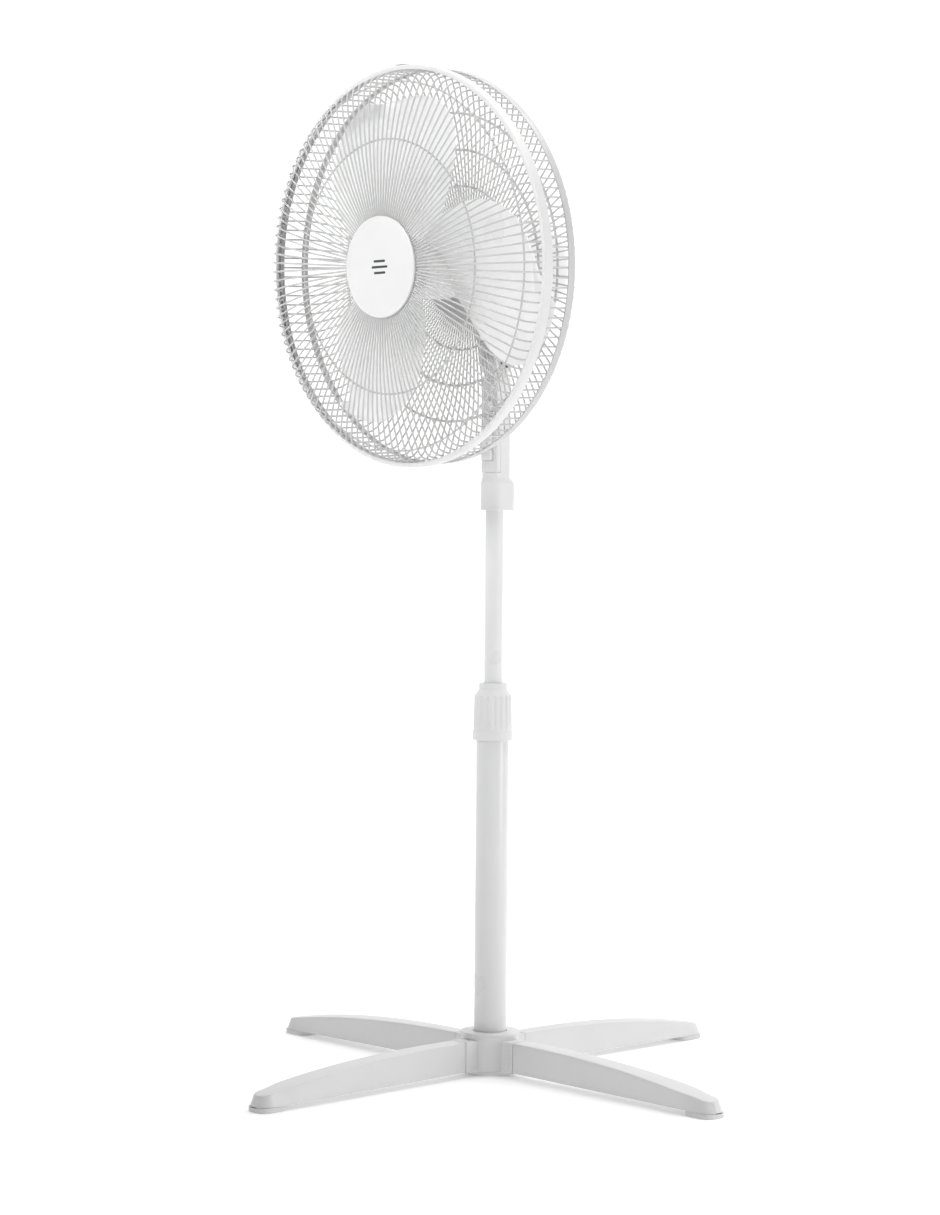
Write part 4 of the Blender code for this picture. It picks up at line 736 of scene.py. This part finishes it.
def make_legs():
    rows = leg_rows()
    tongue = np.array([[(x, y, z) for y, z in arm_outline(0.0077, 0.0098, 0.0367, 0.001)]
                       for x in (0.0245, 0.0500)])
    pad_outline = box_outline(-PAD_HALF_LENGTH, PAD_HALF_LENGTH, -PAD_HALF_WIDTH, PAD_HALF_WIDTH,
                              PAD_HALF_WIDTH - 0.0001, 16)
    for quarter, side in enumerate(SIDES):
        turn = Matrix.Rotation(quarter * math.pi / 2.0, 4, "Z")
        spin = np.array(Matrix.Rotation(quarter * math.pi / 2.0, 3, "Z")).T
        leg = Shape().grid(rows @ spin, wrap_columns=True, caps=True)
        leg.grid(tongue @ spin, wrap_columns=True, caps=True)
        build("leg_shell_" + side, leg, "white_plastic", "base", ["leg_" + side])
        pad = Shape().slab(pad_outline, 0.0, PAD_TOP, 0.0003)
        build("pad_" + side, pad, "foot_plastic", "base", ["foot_pad_" + side],
              turn @ Matrix.Translation((PAD_REACH, 0.0, 0.0)))


# ---- neck --------------------------------------------------------------------------------------
NECK_STEPS = 8
STAND_UP = np.array([[1, 0, 0], [0, 0, 1], [0, -1, 0]], float)      # a slab then faces the front, -Y


def neck_outline(half, front, rear, corner):
    """The neck from above; its front lies at -Y."""
    return soft([(-half, -front, corner), (half, -front, corner),
                 (half, rear, corner), (-half, rear, corner)], 0.0, NECK_STEPS)


def loft(shape, sections):
    """Outlines in XY with their heights, joined and capped."""
    rows = [[(x, y, z) for x, y in outline] for outline, z in sections]
    return shape.grid(rows, wrap_columns=True, caps=True)


def make_neck():
    body = Shape()
    socket = neck_outline(*NECK_SOCKET)
    sections = [(neck_outline(0.0145, 0.0116, 0.0200, 0.0100), NECK_BOTTOM), (socket, NECK_BOTTOM + 0.0006),
                (socket, SHOULDER_LOW)]
    for share in np.linspace(0.0, 1.0, 9)[1:]:
        ease = share * share * (3.0 - 2.0 * share)
        sizes_here = [wide - (wide - slim) * ease for wide, slim in zip(NECK_SOCKET, NECK_BODY)]
        sections.append((neck_outline(*sizes_here), SHOULDER_LOW + SHOULDER_HEIGHT * share))
    top = neck_outline(*NECK_BODY)
    sections.append((top, COVER_BOTTOM - GAP))
    loft(body, sections)
    half, front, rear_side, corner = NECK_BODY
    edge = COVER_SEAM + GAP
    rear = soft([(-half, edge, 0.0002), (half, edge, 0.0002), (half, rear_side, corner),
                 (-half, rear_side, corner)], 0.0, NECK_STEPS)
    loft(body, [(rear, COVER_BOTTOM - 0.0004), (rear, COVER_TOP + 0.0004)])
    loft(body, [(top, COVER_TOP + GAP), (top, NECK_TOP - 0.0010),
                (inward(np.array(top), 0.0003), NECK_TOP - 0.0003),
                (inward(np.array(top), 0.0010), NECK_TOP)])
    lug = [(0.0094 * math.cos(a), TILT_HEIGHT + TILT_LUG_RADIUS * math.sin(a))
           for a in np.linspace(0, math.pi, 25)]
    lug += [(-0.0094, NECK_TOP - 0.001), (0.0094, NECK_TOP - 0.001)]
    body.slab([(y, z) for y, z in lug], -0.0088, 0.0088, 0.0006)
    body.points[-1] = body.points[-1][:, [2, 0, 1]]
    build("neck_shell", body, "white_plastic", "mast", ["neck_body"])


def key_outline(half_width, half_height, height, corner):
    """A rounded rectangle with its middle at a height."""
    return box_outline(-half_width, half_width, height - half_height, height + half_height, corner)


def make_neck_face():
    half, front_side, _, corner = NECK_BODY
    front = np.array(soft([(-half, -front_side, corner), (half, -front_side, corner),
                           (half, COVER_SEAM, 0.0002), (-half, COVER_SEAM, 0.0002)], 0.0, NECK_STEPS))
    face = Shape()
    loft(face, [(inward(front, 0.0003), COVER_BOTTOM), (front, COVER_BOTTOM + 0.0003),
                (front, COVER_TOP - 0.0003), (inward(front, 0.0003), COVER_TOP)])
    cover = build("neck_face", face, "white_plastic", "mast", ["neck_cover"])
    wide, tall = KEY_HALF
    cutters = []
    for number in range(KEY_COUNT):
        height = KEY_LOWEST + KEY_PITCH * number
        tool = Shape().slab(key_outline(wide + KEY_GAP, tall + KEY_GAP, height, 0.0010), 0.0, 0.030, 0.0001)
        tool.points[-1] = tool.points[-1] @ STAND_UP
        tool.points[-1][:, 1] -= 0.001
        cutters.append(tool)
    carve(cover, cutters)
    for number in range(KEY_COUNT):
        height = KEY_LOWEST + KEY_PITCH * number
        key = Shape().slab(key_outline(wide, tall, height, 0.0012), 0.0072, 0.0150, 0.0007)
        key.slab(circle(0.0011, 20, (0.0, height + 0.0028)), 0.0148, 0.0152, 0.0002)
        key.points = [points @ STAND_UP for points in key.points]
        build("key_%d" % number, key, "white_plastic", "button_%d" % number, ["speed_button_%d" % number])


def make_clamp_knob():
    tip = soft([(0.0, 0.0), (0.0020, 0.0), (0.0020, 0.0105), (0.0040, 0.0105, 0.0004),
                (0.0040, 0.0169, 0.0008), (0.0016, 0.0171, 0.0004), (0.0016, 0.0159, 0.0002),
                (0.0, 0.0158)], 0.0002)
    place = Matrix.Translation(CLAMP_SCREW_PLACE) @ Matrix.Rotation(-math.pi / 2.0, 4, "X")
    build("clamp_knob", Shape().turn(tip, 60, ribs(20, 0.00025, 0.0036)), "dark_steel", "clamp_screw",
          ["neck_clamp_screw"], place)


# ---- stage, light and camera ----------------------------------------------------------------------
AZIMUTH = math.radians(45.9)
DISTANCE = 3.3171
EYE_HEIGHT = 0.6355
TURN_LEFT = 0.00795
PITCH = 0.0352
ROLL = 0.0085
LENS = 88.49
SENSOR = 36.0
FLOOR_HALF = 12.0
FLOOR_BELOW = -0.0002                # under the pads, so that the two don't flicker
FLOOR_TONE = 0.94
FLOOR_GLOW = (0.22, 0.55)            # near the object and far from it, so that no horizon shows
FLOOR_GLOW_REACH = (0.5, 3.5)
WORLD_LIGHT = (0.25, 1.15)           # radiance on the dark side and on the bright side
WORLD_BRIGHT_SIDE = (0.25, 1.0, 0.15)    # the backdrop, behind the object and to its right
WORLD_FALL = (-0.2, 0.75)


def beside(right, back, height):
    """A point given from the camera's side: to its right, away from it, and up."""
    ahead = Vector((-math.sin(AZIMUTH), math.cos(AZIMUTH), 0.0))
    across = Vector((math.cos(AZIMUTH), math.sin(AZIMUTH), 0.0))
    return across * right + ahead * back + Vector((0.0, 0.0, height))


# Name, place, size, watts, what it points at, and how wide it spreads in degrees.
MIDDLE = Vector((0.0, 0.0, 0.6))
HEAD = Vector((0.0, -0.12, 0.92))
LIGHTS = (("key", beside(3.0, -1.2, 0.8), (1.2, 1.5), 23.0, MIDDLE, 180.0),
          ("fill", beside(-1.5, -1.3, 1.9), (0.8, 0.8), 1.8, HEAD, 34.0),
          ("top", beside(0.5, 0.0, 3.2), (2.2, 2.2), 40.0, MIDDLE, 180.0))


def smooth_range(nodes, given, made):
    """A node that eases from the two given values to the two made ones."""
    node = nodes.new("ShaderNodeMapRange")
    node.interpolation_type = "SMOOTHSTEP"
    node.inputs["From Min"].default_value, node.inputs["From Max"].default_value = given
    node.inputs["To Min"].default_value, node.inputs["To Max"].default_value = made
    return node


def make_floor():
    paper = bpy.data.materials.new("floor_paper")
    paper.use_nodes = True
    nodes = paper.node_tree.nodes
    links = paper.node_tree.links
    shader = nodes["Principled BSDF"]
    shader.inputs["Base Color"].default_value = (FLOOR_TONE, FLOOR_TONE, FLOOR_TONE, 1.0)
    shader.inputs["Roughness"].default_value = 0.9
    shader.inputs["Specular IOR Level"].default_value = 0.1
    shader.inputs["Emission Color"].default_value = (1.0, 1.0, 1.0, 1.0)
    place = nodes.new("ShaderNodeTexCoord")
    length = nodes.new("ShaderNodeVectorMath")
    length.operation = "LENGTH"
    lift = smooth_range(nodes, FLOOR_GLOW_REACH, FLOOR_GLOW)
    links.new(place.outputs["Object"], length.inputs[0])
    links.new(length.outputs["Value"], lift.inputs["Value"])
    links.new(lift.outputs["Result"], shader.inputs["Emission Strength"])
    half = FLOOR_HALF
    mesh = bpy.data.meshes.new("floor")
    corners = [(-half, -half, 0), (half, -half, 0), (half, half, 0), (-half, half, 0)]
    mesh.from_pydata(corners, [], [(0, 1, 2, 3)])
    mesh.materials.append(paper)
    floor = bpy.data.objects.new("floor", mesh)
    floor.location = (0.0, 0.0, FLOOR_BELOW)
    bpy.context.scene.collection.objects.link(floor)


def make_world():
    world = bpy.data.worlds.new("studio")
    world.use_nodes = True
    nodes = world.node_tree.nodes
    links = world.node_tree.links
    place = nodes.new("ShaderNodeTexCoord")
    facing = nodes.new("ShaderNodeVectorMath")
    facing.operation = "DOT_PRODUCT"
    facing.inputs[1].default_value = beside(*WORLD_BRIGHT_SIDE).normalized()
    links.new(place.outputs["Generated"], facing.inputs[0])
    ramp = smooth_range(nodes, WORLD_FALL, WORLD_LIGHT)
    links.new(facing.outputs["Value"], ramp.inputs["Value"])
    nodes["Background"].inputs["Color"].default_value = (1.0, 1.0, 1.0, 1.0)
    links.new(ramp.outputs["Result"], nodes["Background"].inputs["Strength"])
    bpy.context.scene.world = world
    bpy.context.scene.view_settings.view_transform = "Standard"


def make_lights():
    for name, place, size, power, target, spread in LIGHTS:
        data = bpy.data.lights.new(name, "AREA")
        data.shape = "RECTANGLE"
        data.size, data.size_y = size
        data.energy = power
        data.spread = math.radians(spread)
        lamp = bpy.data.objects.new(name, data)
        lamp.location = place
        lamp.rotation_euler = (target - Vector(place)).to_track_quat("-Z", "Y").to_euler()
        bpy.context.scene.collection.objects.link(lamp)


def make_camera():
    ahead = Matrix.Rotation(TURN_LEFT, 3, "Z") @ beside(0.0, 1.0, 0.0)
    up = Vector((0.0, 0.0, 1.0))
    forward = ahead * math.cos(PITCH) - up * math.sin(PITCH)
    raised = ahead * math.sin(PITCH) + up * math.cos(PITCH)
    right = ahead.cross(up)
    across = right * math.cos(ROLL) + raised * math.sin(ROLL)
    above = raised * math.cos(ROLL) - right * math.sin(ROLL)
    data = bpy.data.cameras.new("camera")
    data.lens = LENS
    data.sensor_width = SENSOR
    camera = bpy.data.objects.new("camera", data)
    turn = Matrix((across, above, -forward)).transposed().to_4x4()
    eye = (DISTANCE * math.sin(AZIMUTH), -DISTANCE * math.cos(AZIMUTH), EYE_HEIGHT)
    camera.matrix_world = Matrix.Translation(eye) @ turn
    bpy.context.scene.collection.objects.link(camera)
    bpy.context.scene.camera = camera


def dress_frame():
    """Gives every CAD node that stays in view the look of its own slot."""
    by_name = {"rubber": "foot_plastic", "cast_aluminium": "cast_metal", "copper_winding": "copper"}
    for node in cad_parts.values():
        for index, old in enumerate(node.data.materials):
            base = old.name.split(".")[0]       # Blender may add .001 to a name
            node.data.materials[index] = LOOKS.get(by_name.get(base, base), LOOKS["white_plastic"])


make_wires()
make_trim()
make_badge()
make_ring_nut()
make_blade()
make_motor_face()
make_motor_shell()
make_knob()
make_poles()
make_collar()
make_hub()
make_legs()
make_neck()
make_neck_face()
make_clamp_knob()
dress_frame()
make_floor()
make_world()
make_lights()
make_camera()
